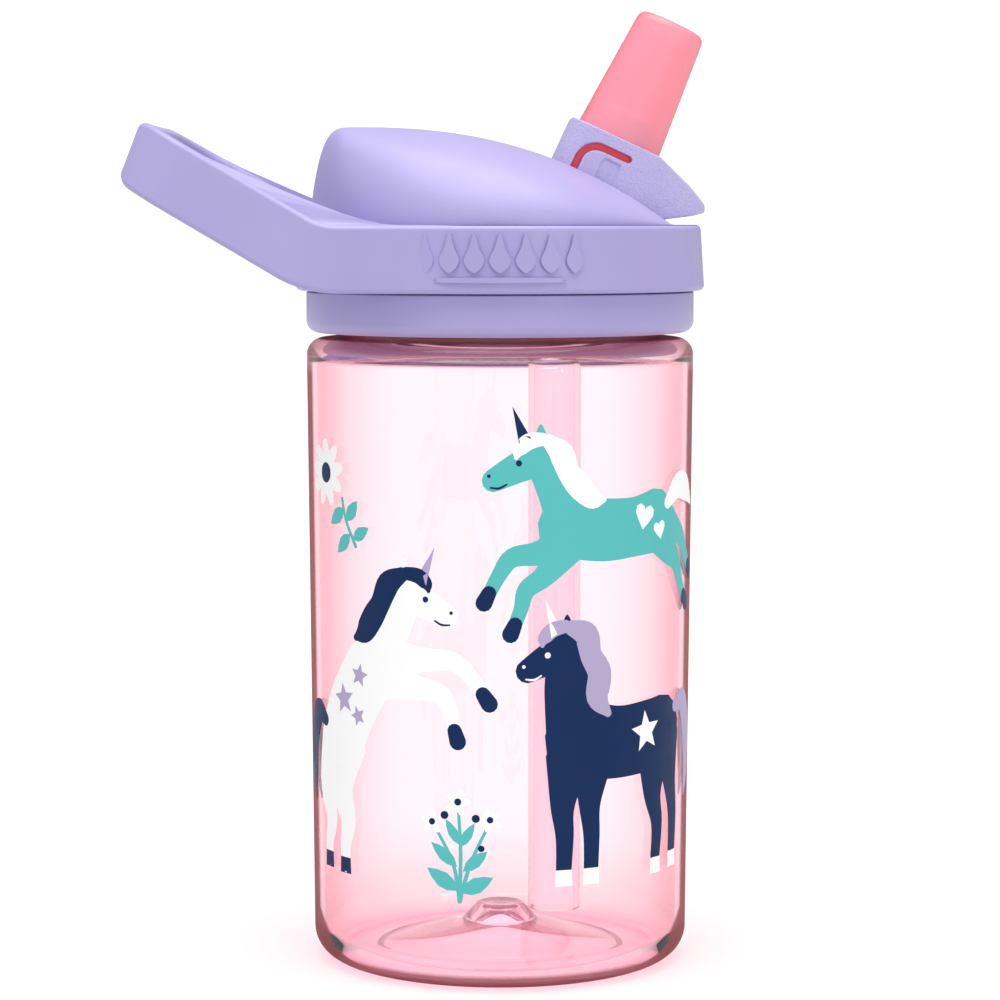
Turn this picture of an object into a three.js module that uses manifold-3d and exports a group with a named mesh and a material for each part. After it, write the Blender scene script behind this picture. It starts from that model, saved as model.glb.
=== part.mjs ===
// Kids' water bottle: a clear tinted bottle with a screw lid, a carry loop and a flip-up bite-valve spout.
//
// Millimetres, +Z up. The bottle stands on z = 0. Every piece is drawn about the bottle's own axis, with the
// carry loop towards -X and the open spout towards +X; the last lines then shift the whole object along X,
// so that the origin is the centre of its footprint box.

import * as THREE from 'three';
import { mergeVertices } from 'three/addons/utils/BufferGeometryUtils.js';
import Module from 'manifold-3d';

const wasm = await Module();
wasm.setup();

// ---------------------------------------------------------------- driving dimensions

const SEGMENTS = 40; // facets round the bottle and the lid
const SMALL_SEGMENTS = 20; // facets round the straw, the seal and the spout's tubes
const GAP = 0.3; // clearance between pieces that touch in the real object

const FOOT_RADIUS = 26.1;
const FOOT_WIDTH = 2.6;
const FOOT_BEVEL = 1; // slope between the foot ring and the sloping underside
const FOOT_RECESS = 0.7; // height of the underside just inside the foot ring
const BODY_RADIUS_HIGH = 36.65;
const WALL = 1.8;
const BASE_FILLET = 9.5;
const SHOULDER_FILLET = 5;
const SHOULDER_Z = 118.5;
const PUNT_FOOT_RADIUS = 6.6; // the raised centre of the floor
const PUNT_TOP_RADIUS = 3.6;
const PUNT_TOP_Z = 10.1;
const PUNT_DISH = 0.5; // depth of the dish in its top
const FLOOR_RISE = 7.1; // height of the floor where the raised centre starts
const NECK_RADIUS = 30;
const NECK_WALL = 2.2;
const NECK_TOP = 128;
const NECK_EDGE = 0.5; // chamfer at the neck's rim
const NECK_ROOT = 0.6; // chamfer where the neck leaves the shoulder

const THREAD_LEAD = 4;
const THREAD_TURNS = 1.2;
const THREAD_DEPTH = 1.4;
const THREAD_ROOT = 1.9; // width of the rib where it leaves the wall
const THREAD_CREST = 0.9;
const THREAD_Z = 121.8; // middle of both ribs at their lower ends
const THREAD_FADE = 0.06; // share of its length over which a rib rises from the wall
const THREAD_SUNK = 0.4; // depth of a rib's root inside the wall

const COLLAR_RADIUS = 36.7;
const COLLAR_BOTTOM = 119.5;
const COLLAR_TOP = 127.2;
const COLLAR_FILLET = 4;
const THREAD_CLEARANCE = 0.8; // between the neck's thread and the collar's flange

const BAND_RADIUS = 38.7;
const BAND_BOTTOM = 127.4;
const BAND_TOP = 139.7;
const BAND_HOLE_RADIUS = 36.4;
const BAND_EDGE = 0.9; // rounding of the band's edges

const LOOP_ANGLE = THREE.MathUtils.degToRad(30); // the loop's rise above the horizontal
const LOOP_BEND_X = -33.7; // the straight parts of the loop and the band would meet here
const LOOP_BEND_RADIUS = 16; // the arc that joins them instead
const LOOP_LENGTH = 39.75;
const LOOP_TAPER = THREE.MathUtils.degToRad(10); // each arm leans in by this much
const LOOP_CORNER = 14;
const LOOP_THICKNESS = 5;
const LOOP_LEAN = 0.16; // its top edge reaches further than its bottom edge, by this share of its height
const LOOP_NOSE = 3; // over this length its end grows less tall
const LOOP_NOSE_DROP = 0.16; // by this share
const FINGER_HOLE_START = THREE.MathUtils.degToRad(136); // corner of the finger hole, round the band

const CAP_WALL_RADIUS = 33.6;
const CAP_THREAD_RADIUS = 31.8;
const CAP_BOTTOM = 120.8;
const DECK_BOTTOM = 130.1;
const DECK_TOP = 132.1;
const CAP_FLANGE_RADIUS = 35.8;
const BARB_LENGTH = 8; // the deck's tube inside the straw
const CHAMBER_FLOOR = 0.6; // thickness of the deck below the chamber that joins its two bores
const CHAMBER_ROOF = 0.4; // and above it

const DOME_RADIUS = 36.1;
const DOME_SKIRT_BOTTOM = DECK_TOP + GAP;
const DOME_HEIGHT = 18.1;
const DOME_CREST_X = -27; // the ridge is highest here
const DOME_BACK_LENGTH = 9;
const DOME_FRONT_LENGTH = 59;
const DOME_WALL = 2;
const CHANNEL_HALF_WIDTH = 10.3;
const CHANNEL_PLAY = 0.5; // clearance under the folded mouthpiece
const CHANNEL_END_PLAY = 1; // beyond its tip
const CHANNEL_CORNER_PLAY = 0.7; // and round the corner of the turning spout
const CHANNEL_TOE = [[0, 3.4], [1.8, 1.6]]; // its back corner: distances from its end and above its floor
const CHANNEL_STEP = 0.3; // slope of the step down to the drum's floor
const CHANNEL_DRUM_REACH = 3.5; // the drum's floor runs this far ahead of the pivot
const CHANNEL_LIP_X = 31.5; // from there the floor slopes up to here
const CHANNEL_LIP_DEPTH = 0.2; // and runs out this far below the band's top
const CHANNEL_SKY = 190; // a height above the whole object
const CHEEK_WALL = 3;
const DOME_BACK_POWER = 4; // how late the ridge falls behind its highest point
const DOME_FRONT_POWER = 2.4; // and ahead of it
const DOME_SQUARENESS = 2.1; // the two exponents of the dome's cross-section
const DOME_FULLNESS = 0.55;
const CHANNEL_FLOOR_WALL = 1.6;
const TROUGH_LENGTH = 66; // the channel's walls fill this length inside the dome
const TROUGH_HEIGHT = 40;

const PIVOT_X = 12.4;
const PIVOT_Z = 143.5;
const SPOUT_TILT = THREE.MathUtils.degToRad(25); // open spout's lean towards +X
const SPOUT_HALF_WIDTH = 10;
const DRUM_RADIUS = 6.1;
const TRUNNION_RADIUS = 2.6;
const TRUNNION_LENGTH = 2.5;
const SPOUT_AXIS_OFFSET = 3.9; // the mouthpiece's axis passes this far in front of the pivot
const SPOUT_AXIS_RISE = 3.47; // and the spout's own origin lies this far above it, along that axis
const SOCKET_RADIUS = 8.6;
const SOCKET_FLOOR = 2;
const SPOUT_RIM = 11.9;
const NOZZLE_RADIUS = 5;
const NOZZLE_TOP = 16.5;
const BACK_CORNER = 5; // rounding of the spout's square back, in plan
const LEVER_TIP_X = 20.6;
const LEVER_TIP_CORNER = 5;
const LEVER_TIP_HALF = 2.4; // half the distance between the tip corners' centres
const LEVER_ROOT_X = 8; // the lever starts to narrow here
const LEVER_LINE = [[14.3, 2], [18.5, 4.6], [20.3, 6], [19.8, 7.2], [16, 9.1]]; // its outline from the side
const DRUM_END = Math.PI * 1.697; // angle round the drum where the lever's underside leaves it
const TIP_START = Math.PI * 0.36; // angle on the tip corners where the narrowing sides meet them
const SLOT_WIDTH = 1.4;
const SLOT_CENTRE_X = -2.1; // the slot turns about this point
const SLOT_CENTRE_Z = 5.4;
const SLOT_RADIUS = 3.5;
const SLOT_END_X = 3;
const SLOT_END_Z = -1;
const SLOT_DEPTH = 4.5;
const FLOW_RADIUS = 2.3;

const VALVE_BASE_RADIUS = 8.3;
const VALVE_TIP_RADIUS = 6.55;
const VALVE_TOP = 35.8;
const VALVE_TIP_FILLET = 1.6;
const VALVE_BORE_RADIUS = NOZZLE_RADIUS + GAP;
const VALVE_TIP_WALL = 2.2;
const VALVE_TIP_BORE_RADIUS = 4.1;
const VALVE_NARROWING = 0.5; // the bore's step just above the nozzle
const SLIT_LENGTH = 7;
const SLIT_WIDTH = 0.3;

const STRAW_X = 10.4;
const STRAW_RADIUS = 5;
const STRAW_BORE_RADIUS = 4;
const STRAW_BOTTOM = 8.8;
const STRAW_TOP = 129.6;
const PORT_X = 13.2;
const SEAL_RADIUS = 3.9;
const SEAL_TOP = PIVOT_Z - DRUM_RADIUS - GAP;
const SEAL_BOTTOM = 134.2;
const BOSS_RADIUS = 5.4;

const VENT_X = -14;
const VENT_HOLE_RADIUS = 1.2;
const VENT_DISC_RADIUS = 3.2;
const VENT_BEAD_RADIUS = 1.6;
const VENT_DISC_DEPTHS = [1.3, 1, 0.5]; // below the deck: the disc's middle, lower edge and upper edge
const VENT_BEAD_HEIGHTS = [1.2, 1.4]; // above the deck: the bead's upper edge and top

const FOOTPRINT_SHIFT = 15.6; // from the centre of the footprint box to the bottle's axis

// ---------------------------------------------------------------- joining and cutting

/** A geometry with only positions, its shared corners merged and its flat-folded triangles dropped. */
function welded(geometry) {
  const plain = geometry.clone();
  plain.deleteAttribute('normal');
  plain.deleteAttribute('uv');
  const merged = mergeVertices(plain, 1e-4);
  const index = merged.index.array;
  const kept = [];
  for (let i = 0; i < index.length; i += 3) {
    const [a, b, c] = [index[i], index[i + 1], index[i + 2]];
    if (a !== b && b !== c && c !== a) kept.push(a, b, c);
  }
  merged.setIndex(kept);
  return merged;
}

/** A closed geometry as a Manifold solid, ready to be joined or cut. */
function solid(geometry) {
  const merged = welded(geometry);
  return new wasm.Manifold(new wasm.Mesh({
    numProp: 3,
    vertProperties: new Float32Array(merged.attributes.position.array),
    triVerts: new Uint32Array(merged.index.array),
  }));
}

/** A Manifold solid as a geometry again. */
function geometryOf(manifold) {
  const { numProp, vertProperties, triVerts } = manifold.getMesh();
  const positions = new Float32Array((vertProperties.length / numProp) * 3);
  for (let i = 0; i < positions.length / 3; i += 1) {
    positions.set(vertProperties.subarray(i * numProp, i * numProp + 3), i * 3);
  }
  const geometry = new THREE.BufferGeometry();
  geometry.setAttribute('position', new THREE.BufferAttribute(positions, 3));
  geometry.setIndex(new THREE.BufferAttribute(new Uint32Array(triVerts), 1));
  return geometry;
}

/** One named sub-part with its own material. */
function piece(name, geometry, { color, roughness, metalness = 0, opacity = 1 }) {
  const material = new THREE.MeshStandardMaterial({
    color, roughness, metalness, opacity, transparent: opacity < 1,
  });
  const mesh = new THREE.Mesh(geometry, material);
  mesh.name = name;
  return mesh;
}

const LILAC = { color: 0xb0a7d9, roughness: 0.42 };
const CLEAR_PINK = { color: 0xffc4cd, roughness: 0.06, opacity: 0.35 };
const CORAL_SILICONE = { color: 0xff91a5, roughness: 0.5, opacity: 0.9 };
const CLEAR_SILICONE = { color: 0xf1eeee, roughness: 0.5, opacity: 0.85 };

// ---------------------------------------------------------------- shapes used by several pieces

/** A solid of revolution about Z, from (radius, height) points. */
function turned(points, segments = SEGMENTS) {
  return new THREE.LatheGeometry(points, segments).rotateX(Math.PI / 2);
}

/** Points from [radius, height] pairs. */
function profile(...pairs) {
  return pairs.map(([radius, height]) => new THREE.Vector2(radius, height));
}

/** An upright cylinder between two heights, at a place along X. */
function post(radius, bottom, top, x = 0) {
  const geometry = new THREE.CylinderGeometry(radius, radius, top - bottom, SMALL_SEGMENTS);
  return geometry.rotateX(Math.PI / 2).translate(x, 0, (top + bottom) / 2);
}

/** A shape drawn in X and Z, extruded along Y from -half to +half. */
function sideways(shape, half, options = {}) {
  const geometry = new THREE.ExtrudeGeometry(shape, {
    depth: 2 * half, bevelEnabled: false, curveSegments: 8, ...options,
  });
  return geometry.rotateX(Math.PI / 2).translate(0, half, 0);
}

/**
 * A helical rib: a trapezoid wound round Z. Its root is sunk into the wall at the radius, and it reaches
 * depth outwards (or inwards, if depth is negative). It fades in and out at its two ends.
 */
function helicalRib(radius, depth, startTurn) {
  const sunk = -THREAD_SUNK * Math.sign(depth);
  const section = new THREE.Shape(profile(
    [sunk, -THREAD_ROOT / 2], [depth, -THREAD_CREST / 2], [depth, THREAD_CREST / 2], [sunk, THREAD_ROOT / 2],
  ));
  const steps = Math.round(THREAD_TURNS * SEGMENTS);
  const geometry = new THREE.ExtrudeGeometry(section, { depth: 1, steps, bevelEnabled: false });
  const position = geometry.attributes.position;
  for (let i = 0; i < position.count; i += 1) {
    const [out, down, along] = [position.getX(i), position.getY(i), position.getZ(i)];
    const fade = Math.min(1, Math.min(along, 1 - along) / THREAD_FADE);
    const reach = Math.sign(out) === Math.sign(depth) ? out * fade : out;
    const angle = 2 * Math.PI * (startTurn + THREAD_TURNS * along);
    const z = THREAD_Z + THREAD_LEAD * THREAD_TURNS * along - down;
    position.setXYZ(i, (radius + reach) * Math.cos(angle), (radius + reach) * Math.sin(angle), z);
  }
  return geometry;
}

// ---------------------------------------------------------------- bottle

function bottleBody() {
  const path = new THREE.Path();
  const neckBore = NECK_RADIUS - NECK_WALL;
  const shoulderArcZ = SHOULDER_Z - SHOULDER_FILLET;
  const shoulderArcRadius = BODY_RADIUS_HIGH - SHOULDER_FILLET;
  const slopeEnd = FOOT_RADIUS - FOOT_WIDTH - FOOT_BEVEL;
  const puntSlope = (PUNT_FOOT_RADIUS - PUNT_TOP_RADIUS) / 2;
  const right = 0;
  const up = Math.PI / 2;
  const down = -Math.PI / 2;

  // underside: hollow centre, sloping floor and the ring it stands on
  path.moveTo(0, PUNT_TOP_Z - WALL);
  path.lineTo(PUNT_TOP_RADIUS - WALL / 2, PUNT_TOP_Z - WALL);
  path.lineTo(PUNT_FOOT_RADIUS - puntSlope, FLOOR_RISE - WALL);
  path.lineTo(slopeEnd, FOOT_RECESS);
  path.lineTo(slopeEnd + FOOT_BEVEL, 0);
  // outside: base corner, tapered wall, shoulder and neck
  path.absarc(FOOT_RADIUS, BASE_FILLET, BASE_FILLET, down, right, false);
  path.absarc(shoulderArcRadius, shoulderArcZ, SHOULDER_FILLET, right, up, false);
  path.lineTo(NECK_RADIUS + NECK_ROOT, SHOULDER_Z);
  path.lineTo(NECK_RADIUS, SHOULDER_Z + NECK_ROOT);
  path.lineTo(NECK_RADIUS, NECK_TOP - NECK_EDGE);
  path.lineTo(NECK_RADIUS - NECK_EDGE, NECK_TOP);
  path.lineTo(neckBore + NECK_EDGE, NECK_TOP);
  path.lineTo(neckBore, NECK_TOP - NECK_EDGE);
  // inside: neck, shoulder, wall and floor
  path.lineTo(neckBore, SHOULDER_Z);
  path.lineTo(neckBore + WALL / 2, SHOULDER_Z - WALL);
  path.absarc(shoulderArcRadius, shoulderArcZ, SHOULDER_FILLET - WALL, up, right, true);
  path.absarc(FOOT_RADIUS, BASE_FILLET, BASE_FILLET - WALL, right, down, true);
  path.lineTo(slopeEnd, FOOT_RECESS + WALL);
  path.lineTo(PUNT_FOOT_RADIUS, FLOOR_RISE);
  path.lineTo(PUNT_TOP_RADIUS + puntSlope, PUNT_TOP_Z - WALL);
  path.lineTo(PUNT_TOP_RADIUS, PUNT_TOP_Z);
  path.lineTo(0, PUNT_TOP_Z - PUNT_DISH);

  const shell = solid(turned(path.getPoints(2)));
  const rib = solid(helicalRib(NECK_RADIUS, THREAD_DEPTH, 0));
  return geometryOf(shell.add(rib));
}

// ---------------------------------------------------------------- lid pieces that are rings

/** A ring that lies on the neck's rim, clear of the cap's thread when the cap rises past it. */
function lidGasket() {
  const inner = NECK_RADIUS - NECK_WALL + GAP;
  const outer = CAP_THREAD_RADIUS - THREAD_DEPTH - GAP;
  const bottom = NECK_TOP + GAP / 2;
  const top = DECK_BOTTOM - GAP / 2;
  return turned(profile([inner, bottom], [outer, bottom], [outer, top], [inner, top], [inner, bottom]));
}

function lidCollar() {
  const bore = CAP_WALL_RADIUS + GAP;
  const flangeBore = NECK_RADIUS + THREAD_DEPTH + THREAD_CLEARANCE;
  const flangeTop = CAP_BOTTOM - GAP;
  const filletX = COLLAR_RADIUS - COLLAR_FILLET;
  const path = new THREE.Path();
  path.moveTo(flangeBore, COLLAR_BOTTOM);
  path.lineTo(filletX, COLLAR_BOTTOM);
  path.absarc(filletX, COLLAR_BOTTOM + COLLAR_FILLET, COLLAR_FILLET, -Math.PI / 2, 0, false);
  path.lineTo(COLLAR_RADIUS, COLLAR_TOP);
  path.lineTo(bore, COLLAR_TOP);
  path.lineTo(bore, flangeTop);
  path.lineTo(flangeBore, flangeTop);
  path.lineTo(flangeBore, COLLAR_BOTTOM);
  return turned(path.getPoints(2));
}

// ---------------------------------------------------------------- threaded cap with the straw port

/**
 * The cap's cup has a barb below its deck for the straw and a boss above it for the spout's seal. The two
 * bores are a little apart along X and meet in a chamber inside the deck.
 */
function innerCap() {
  const chamberBottom = DECK_BOTTOM + CHAMBER_FLOOR;
  const chamberTop = DECK_TOP - CHAMBER_ROOF;
  const past = 1; // cutters run past the faces they cut
  const cup = solid(turned(profile(
    [0, DECK_BOTTOM], [CAP_THREAD_RADIUS, DECK_BOTTOM], [CAP_THREAD_RADIUS, CAP_BOTTOM],
    [CAP_WALL_RADIUS, CAP_BOTTOM], [CAP_WALL_RADIUS, DECK_BOTTOM], [CAP_FLANGE_RADIUS, DECK_BOTTOM],
    [CAP_FLANGE_RADIUS, DECK_TOP], [0, DECK_TOP],
  )));
  const rib = solid(helicalRib(CAP_THREAD_RADIUS, -THREAD_DEPTH, 0.5));
  const barbBottom = STRAW_TOP - BARB_LENGTH;
  const barb = solid(post(STRAW_BORE_RADIUS - GAP, barbBottom, DECK_BOTTOM + past, STRAW_X));
  const boss = solid(post(BOSS_RADIUS, DECK_TOP - past, SEAL_TOP - GAP, PORT_X));
  const sealSeat = solid(post(SEAL_RADIUS + GAP, SEAL_BOTTOM - GAP, SEAL_TOP + past, PORT_X));
  const strawBore = solid(post(FLOW_RADIUS, barbBottom - past, chamberTop, STRAW_X));
  const portBore = solid(post(FLOW_RADIUS, chamberBottom, SEAL_TOP, PORT_X));
  const ventHole = solid(post(VENT_HOLE_RADIUS, DECK_BOTTOM - past, DECK_TOP + past, VENT_X));
  return geometryOf(cup.add(rib).add(barb).add(boss)
    .subtract(sealSeat).subtract(strawBore).subtract(portBore).subtract(ventHole));
}

function spoutSeal() {
  const ring = profile(
    [FLOW_RADIUS, SEAL_BOTTOM], [SEAL_RADIUS, SEAL_BOTTOM], [SEAL_RADIUS, SEAL_TOP],
    [FLOW_RADIUS, SEAL_TOP], [FLOW_RADIUS, SEAL_BOTTOM],
  );
  return turned(ring, SMALL_SEGMENTS).translate(PORT_X, 0, 0);
}

/** An umbrella valve: a thin disc under the deck, a stem through its hole and a bead on top. */
function ventValve() {
  const stem = VENT_HOLE_RADIUS - GAP;
  const [discLow, discEdge, discTop] = VENT_DISC_DEPTHS.map((depth) => DECK_BOTTOM - depth);
  const [beadEdge, beadTop] = VENT_BEAD_HEIGHTS.map((height) => DECK_TOP + height);
  const beadLow = DECK_TOP + GAP;
  const disc = profile(
    [0, discLow], [VENT_DISC_RADIUS, discEdge], [VENT_DISC_RADIUS, discTop], [stem, DECK_BOTTOM - GAP],
    [stem, beadLow], [VENT_BEAD_RADIUS, beadLow], [VENT_HOLE_RADIUS, beadEdge], [0, beadTop],
  );
  return turned(disc, SMALL_SEGMENTS).translate(VENT_X, 0, 0);
}

// ---------------------------------------------------------------- dome

/** Height of the dome's ridge above the band, along X. */
function ridge(x) {
  const behind = (DOME_CREST_X - x) / DOME_BACK_LENGTH;
  const ahead = (x - DOME_CREST_X) / DOME_FRONT_LENGTH;
  const drop = behind > 0 ? behind ** DOME_BACK_POWER : ahead ** DOME_FRONT_POWER;
  return DOME_HEIGHT * Math.max(0, 1 - drop);
}

/** A dome on a round skirt: level across the spout's channel, then falling to the rim on a superellipse. */
function domeSolid(radius, lower, bottom, segments, rings) {
  const base = BAND_TOP - lower;
  const points = profile([0, bottom], [radius, bottom], [radius, base]);
  for (let i = 1; i <= rings; i += 1) {
    const turn = (Math.PI / 2) * (i / rings);
    points.push(new THREE.Vector2(i === rings ? 0 : radius * Math.cos(turn), base + i));
  }
  const geometry = turned(points, segments);
  const position = geometry.attributes.position;
  for (let i = 0; i < position.count; i += 1) {
    const [x, y, z] = [position.getX(i), position.getY(i), position.getZ(i)];
    if (z > base + 0.5) {
      const halfWidth = Math.sqrt(Math.max(radius ** 2 - x ** 2, 1e-9));
      const level = Math.min(CHANNEL_HALF_WIDTH, halfWidth / 2);
      const across = THREE.MathUtils.clamp((Math.abs(y) - level) / (halfWidth - level), 0, 1);
      const stretched = (x * DOME_RADIUS) / radius;
      position.setZ(i, base + ridge(stretched) * (1 - across ** DOME_SQUARENESS) ** DOME_FULLNESS);
    }
  }
  return solid(geometry);
}

/** The space that the folded spout fills, drawn from the side. */
function channelOutline() {
  const corner = Math.hypot(SPOUT_HALF_WIDTH - SPOUT_AXIS_OFFSET, SPOUT_RIM + SPOUT_AXIS_RISE);
  const stepX = PIVOT_X - corner - CHANNEL_CORNER_PLAY;
  const backX = PIVOT_X - (VALVE_TOP + SPOUT_AXIS_RISE) - CHANNEL_END_PLAY;
  const valveFloor = PIVOT_Z + SPOUT_AXIS_OFFSET - VALVE_BASE_RADIUS - CHANNEL_PLAY;
  const drumFloor = SEAL_TOP - GAP;
  const lipZ = BAND_TOP - CHANNEL_LIP_DEPTH;
  const frontX = DOME_RADIUS + 1;
  return new THREE.Shape(profile(
    [backX, CHANNEL_SKY], ...CHANNEL_TOE.map(([run, rise]) => [backX + run, valveFloor + rise]),
    [stepX - CHANNEL_STEP, valveFloor], [stepX, drumFloor],
    [PIVOT_X + CHANNEL_DRUM_REACH, drumFloor], [CHANNEL_LIP_X, lipZ],
    [frontX, lipZ], [frontX, CHANNEL_SKY],
  ));
}

function lidDome() {
  const outside = domeSolid(DOME_RADIUS, 0, DOME_SKIRT_BOTTOM, SEGMENTS, 9);
  const inside = domeSolid(DOME_RADIUS - DOME_WALL, DOME_WALL, DOME_SKIRT_BOTTOM - 3, 24, 6);
  const cheekHalf = CHANNEL_HALF_WIDTH + CHEEK_WALL;
  const floorBottom = SEAL_TOP - GAP - CHANNEL_FLOOR_WALL;
  const troughBox = new THREE.BoxGeometry(TROUGH_LENGTH, 2 * cheekHalf, TROUGH_HEIGHT)
    .translate(0, 0, floorBottom + TROUGH_HEIGHT / 2);
  const channel = solid(sideways(channelOutline(), CHANNEL_HALF_WIDTH));
  const bearingRadius = TRUNNION_RADIUS + GAP;
  const bearingSpan = 2 * (SPOUT_HALF_WIDTH + TRUNNION_LENGTH + GAP);
  const bearings = new THREE.CylinderGeometry(bearingRadius, bearingRadius, bearingSpan, SMALL_SEGMENTS)
    .translate(PIVOT_X, 0, PIVOT_Z);
  const portHole = post(BOSS_RADIUS + GAP, floorBottom - 1, SEAL_TOP + 1, PORT_X);
  const hollow = inside.subtract(solid(troughBox));
  return geometryOf(outside.subtract(hollow).subtract(channel).subtract(solid(bearings))
    .subtract(solid(portHole)));
}

// ---------------------------------------------------------------- band and carry loop

/** Adds a straight stretch to a path in equal steps, so that it can be bent afterwards. */
function steppedLine(path, endX, endY, steps = 14) {
  const start = path.currentPoint.clone();
  const end = new THREE.Vector2(endX, endY);
  for (let i = 1; i <= steps; i += 1) {
    const point = start.clone().lerp(end, i / steps);
    path.lineTo(point.x, point.y);
  }
}

/** Plan of the band and loop, before the loop is bent up: outer line, hole for the dome, finger hole. */
function handlePlan() {
  const leave = Math.PI / 2 + LOOP_TAPER; // angle on the band where an arm leaves it
  const cornerX = LOOP_BEND_X - LOOP_LENGTH + LOOP_CORNER;
  // an arm's outer line touches the band's circle and the end corner's circle
  const cornerY = (BAND_RADIUS - LOOP_CORNER) / Math.cos(LOOP_TAPER) + cornerX * Math.tan(LOOP_TAPER);
  const fingerCorner = LOOP_CORNER - LOOP_THICKNESS;
  const fingerEndX = cornerX + fingerCorner * Math.cos(leave);
  const fingerEndY = cornerY + fingerCorner * Math.sin(leave);
  const fingerStartX = BAND_RADIUS * Math.cos(FINGER_HOLE_START);
  const fingerStartY = BAND_RADIUS * Math.sin(FINGER_HOLE_START);

  const shape = new THREE.Shape();
  shape.absarc(0, 0, BAND_RADIUS, -leave, leave, false);
  steppedLine(shape, cornerX + LOOP_CORNER * Math.cos(leave), cornerY + LOOP_CORNER * Math.sin(leave));
  shape.absarc(cornerX, cornerY, LOOP_CORNER, leave, Math.PI, false);
  shape.absarc(cornerX, -cornerY, LOOP_CORNER, Math.PI, 2 * Math.PI - leave, false);
  steppedLine(shape, BAND_RADIUS * Math.cos(leave), -BAND_RADIUS * Math.sin(leave));

  const finger = new THREE.Path();
  finger.absarc(0, 0, BAND_RADIUS, FINGER_HOLE_START, 2 * Math.PI - FINGER_HOLE_START, false);
  steppedLine(finger, fingerEndX, -fingerEndY, 10);
  finger.absarc(cornerX, -cornerY, fingerCorner, 2 * Math.PI - leave, Math.PI, true);
  finger.absarc(cornerX, cornerY, fingerCorner, Math.PI, leave, true);
  steppedLine(finger, fingerStartX, fingerStartY, 10);

  const hole = new THREE.Path();
  hole.absarc(0, 0, BAND_HOLE_RADIUS, 0, 2 * Math.PI, true);
  shape.holes.push(hole, finger);
  return shape;
}

function carryHandle() {
  const height = BAND_TOP - BAND_BOTTOM;
  const geometry = new THREE.ExtrudeGeometry(handlePlan(), {
    depth: height - 2 * BAND_EDGE,
    curveSegments: 16,
    bevelThickness: BAND_EDGE,
    bevelSize: BAND_EDGE,
    bevelOffset: -BAND_EDGE,
    bevelSegments: 1,
  });
  geometry.translate(0, 0, BAND_EDGE - height / 2);
  return geometry;
}

/** Bends the flat handle up on an arc beyond the bend line, all but the band itself, and shapes its end. */
function bendUp(geometry) {
  const middle = (BAND_TOP + BAND_BOTTOM) / 2;
  const arcStart = LOOP_BEND_X + LOOP_BEND_RADIUS * Math.tan(LOOP_ANGLE / 2);
  const straight = arcStart - LOOP_BEND_X + LOOP_LENGTH - LOOP_ANGLE * LOOP_BEND_RADIUS;
  const position = geometry.attributes.position;
  for (let i = 0; i < position.count; i += 1) {
    const [x, y, flat] = [position.getX(i), position.getY(i), position.getZ(i)];
    const onBand = Math.hypot(x, y) < BAND_RADIUS + 0.05;
    const along = onBand ? 0 : Math.max(0, arcStart - x);
    const turn = Math.min(along / LOOP_BEND_RADIUS, LOOP_ANGLE);
    const level = along - turn * LOOP_BEND_RADIUS;
    const nose = Math.max(0, 1 - (straight - level) / LOOP_NOSE);
    const lift = flat * (1 - LOOP_NOSE_DROP * nose ** 2);
    const run = level + lift * LOOP_LEAN * (turn / LOOP_ANGLE);
    const midX = x + along - LOOP_BEND_RADIUS * Math.sin(turn) - run * Math.cos(turn);
    const midZ = middle + LOOP_BEND_RADIUS * (1 - Math.cos(turn)) + run * Math.sin(turn);
    position.setX(i, midX + lift * Math.sin(turn));
    position.setZ(i, midZ + lift * Math.cos(turn));
  }
  return geometry;
}

// ---------------------------------------------------------------- straw

function straw() {
  const tube = profile(
    [STRAW_BORE_RADIUS, STRAW_BOTTOM], [STRAW_RADIUS, STRAW_BOTTOM], [STRAW_RADIUS, STRAW_TOP],
    [STRAW_BORE_RADIUS, STRAW_TOP], [STRAW_BORE_RADIUS, STRAW_BOTTOM],
  );
  return turned(tube, SMALL_SEGMENTS).translate(STRAW_X, 0, 0);
}

// ---------------------------------------------------------------- spout, drawn about the mouthpiece's axis

/** The spout's side view: drum, straight back, flat rim and thumb lever. */
function spoutSide() {
  const [pivotX, pivotZ] = [-SPOUT_AXIS_OFFSET, -SPOUT_AXIS_RISE];
  const shape = new THREE.Shape();
  shape.moveTo(-SPOUT_HALF_WIDTH, SPOUT_RIM);
  shape.lineTo(-SPOUT_HALF_WIDTH, pivotZ);
  shape.absarc(pivotX, pivotZ, DRUM_RADIUS, Math.PI, DRUM_END, false);
  for (const [x, z] of LEVER_LINE) shape.lineTo(x, z);
  shape.lineTo(VALVE_BASE_RADIUS, SPOUT_RIM);
  return shape;
}

/** The spout's plan: square back with round corners, narrowing to the lever's round tip. */
function spoutPlan() {
  const half = SPOUT_HALF_WIDTH;
  const backX = -half + BACK_CORNER;
  const backY = half - BACK_CORNER;
  const tipX = LEVER_TIP_X - LEVER_TIP_CORNER;
  const shape = new THREE.Shape();
  shape.absarc(backX, backY, BACK_CORNER, Math.PI, Math.PI / 2, true);
  shape.lineTo(LEVER_ROOT_X, half);
  shape.absarc(tipX, LEVER_TIP_HALF, LEVER_TIP_CORNER, TIP_START, 0, true);
  shape.absarc(tipX, -LEVER_TIP_HALF, LEVER_TIP_CORNER, 0, -TIP_START, true);
  shape.lineTo(LEVER_ROOT_X, -half);
  shape.absarc(backX, -backY, BACK_CORNER, -Math.PI / 2, -Math.PI, true);
  return shape;
}

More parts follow.
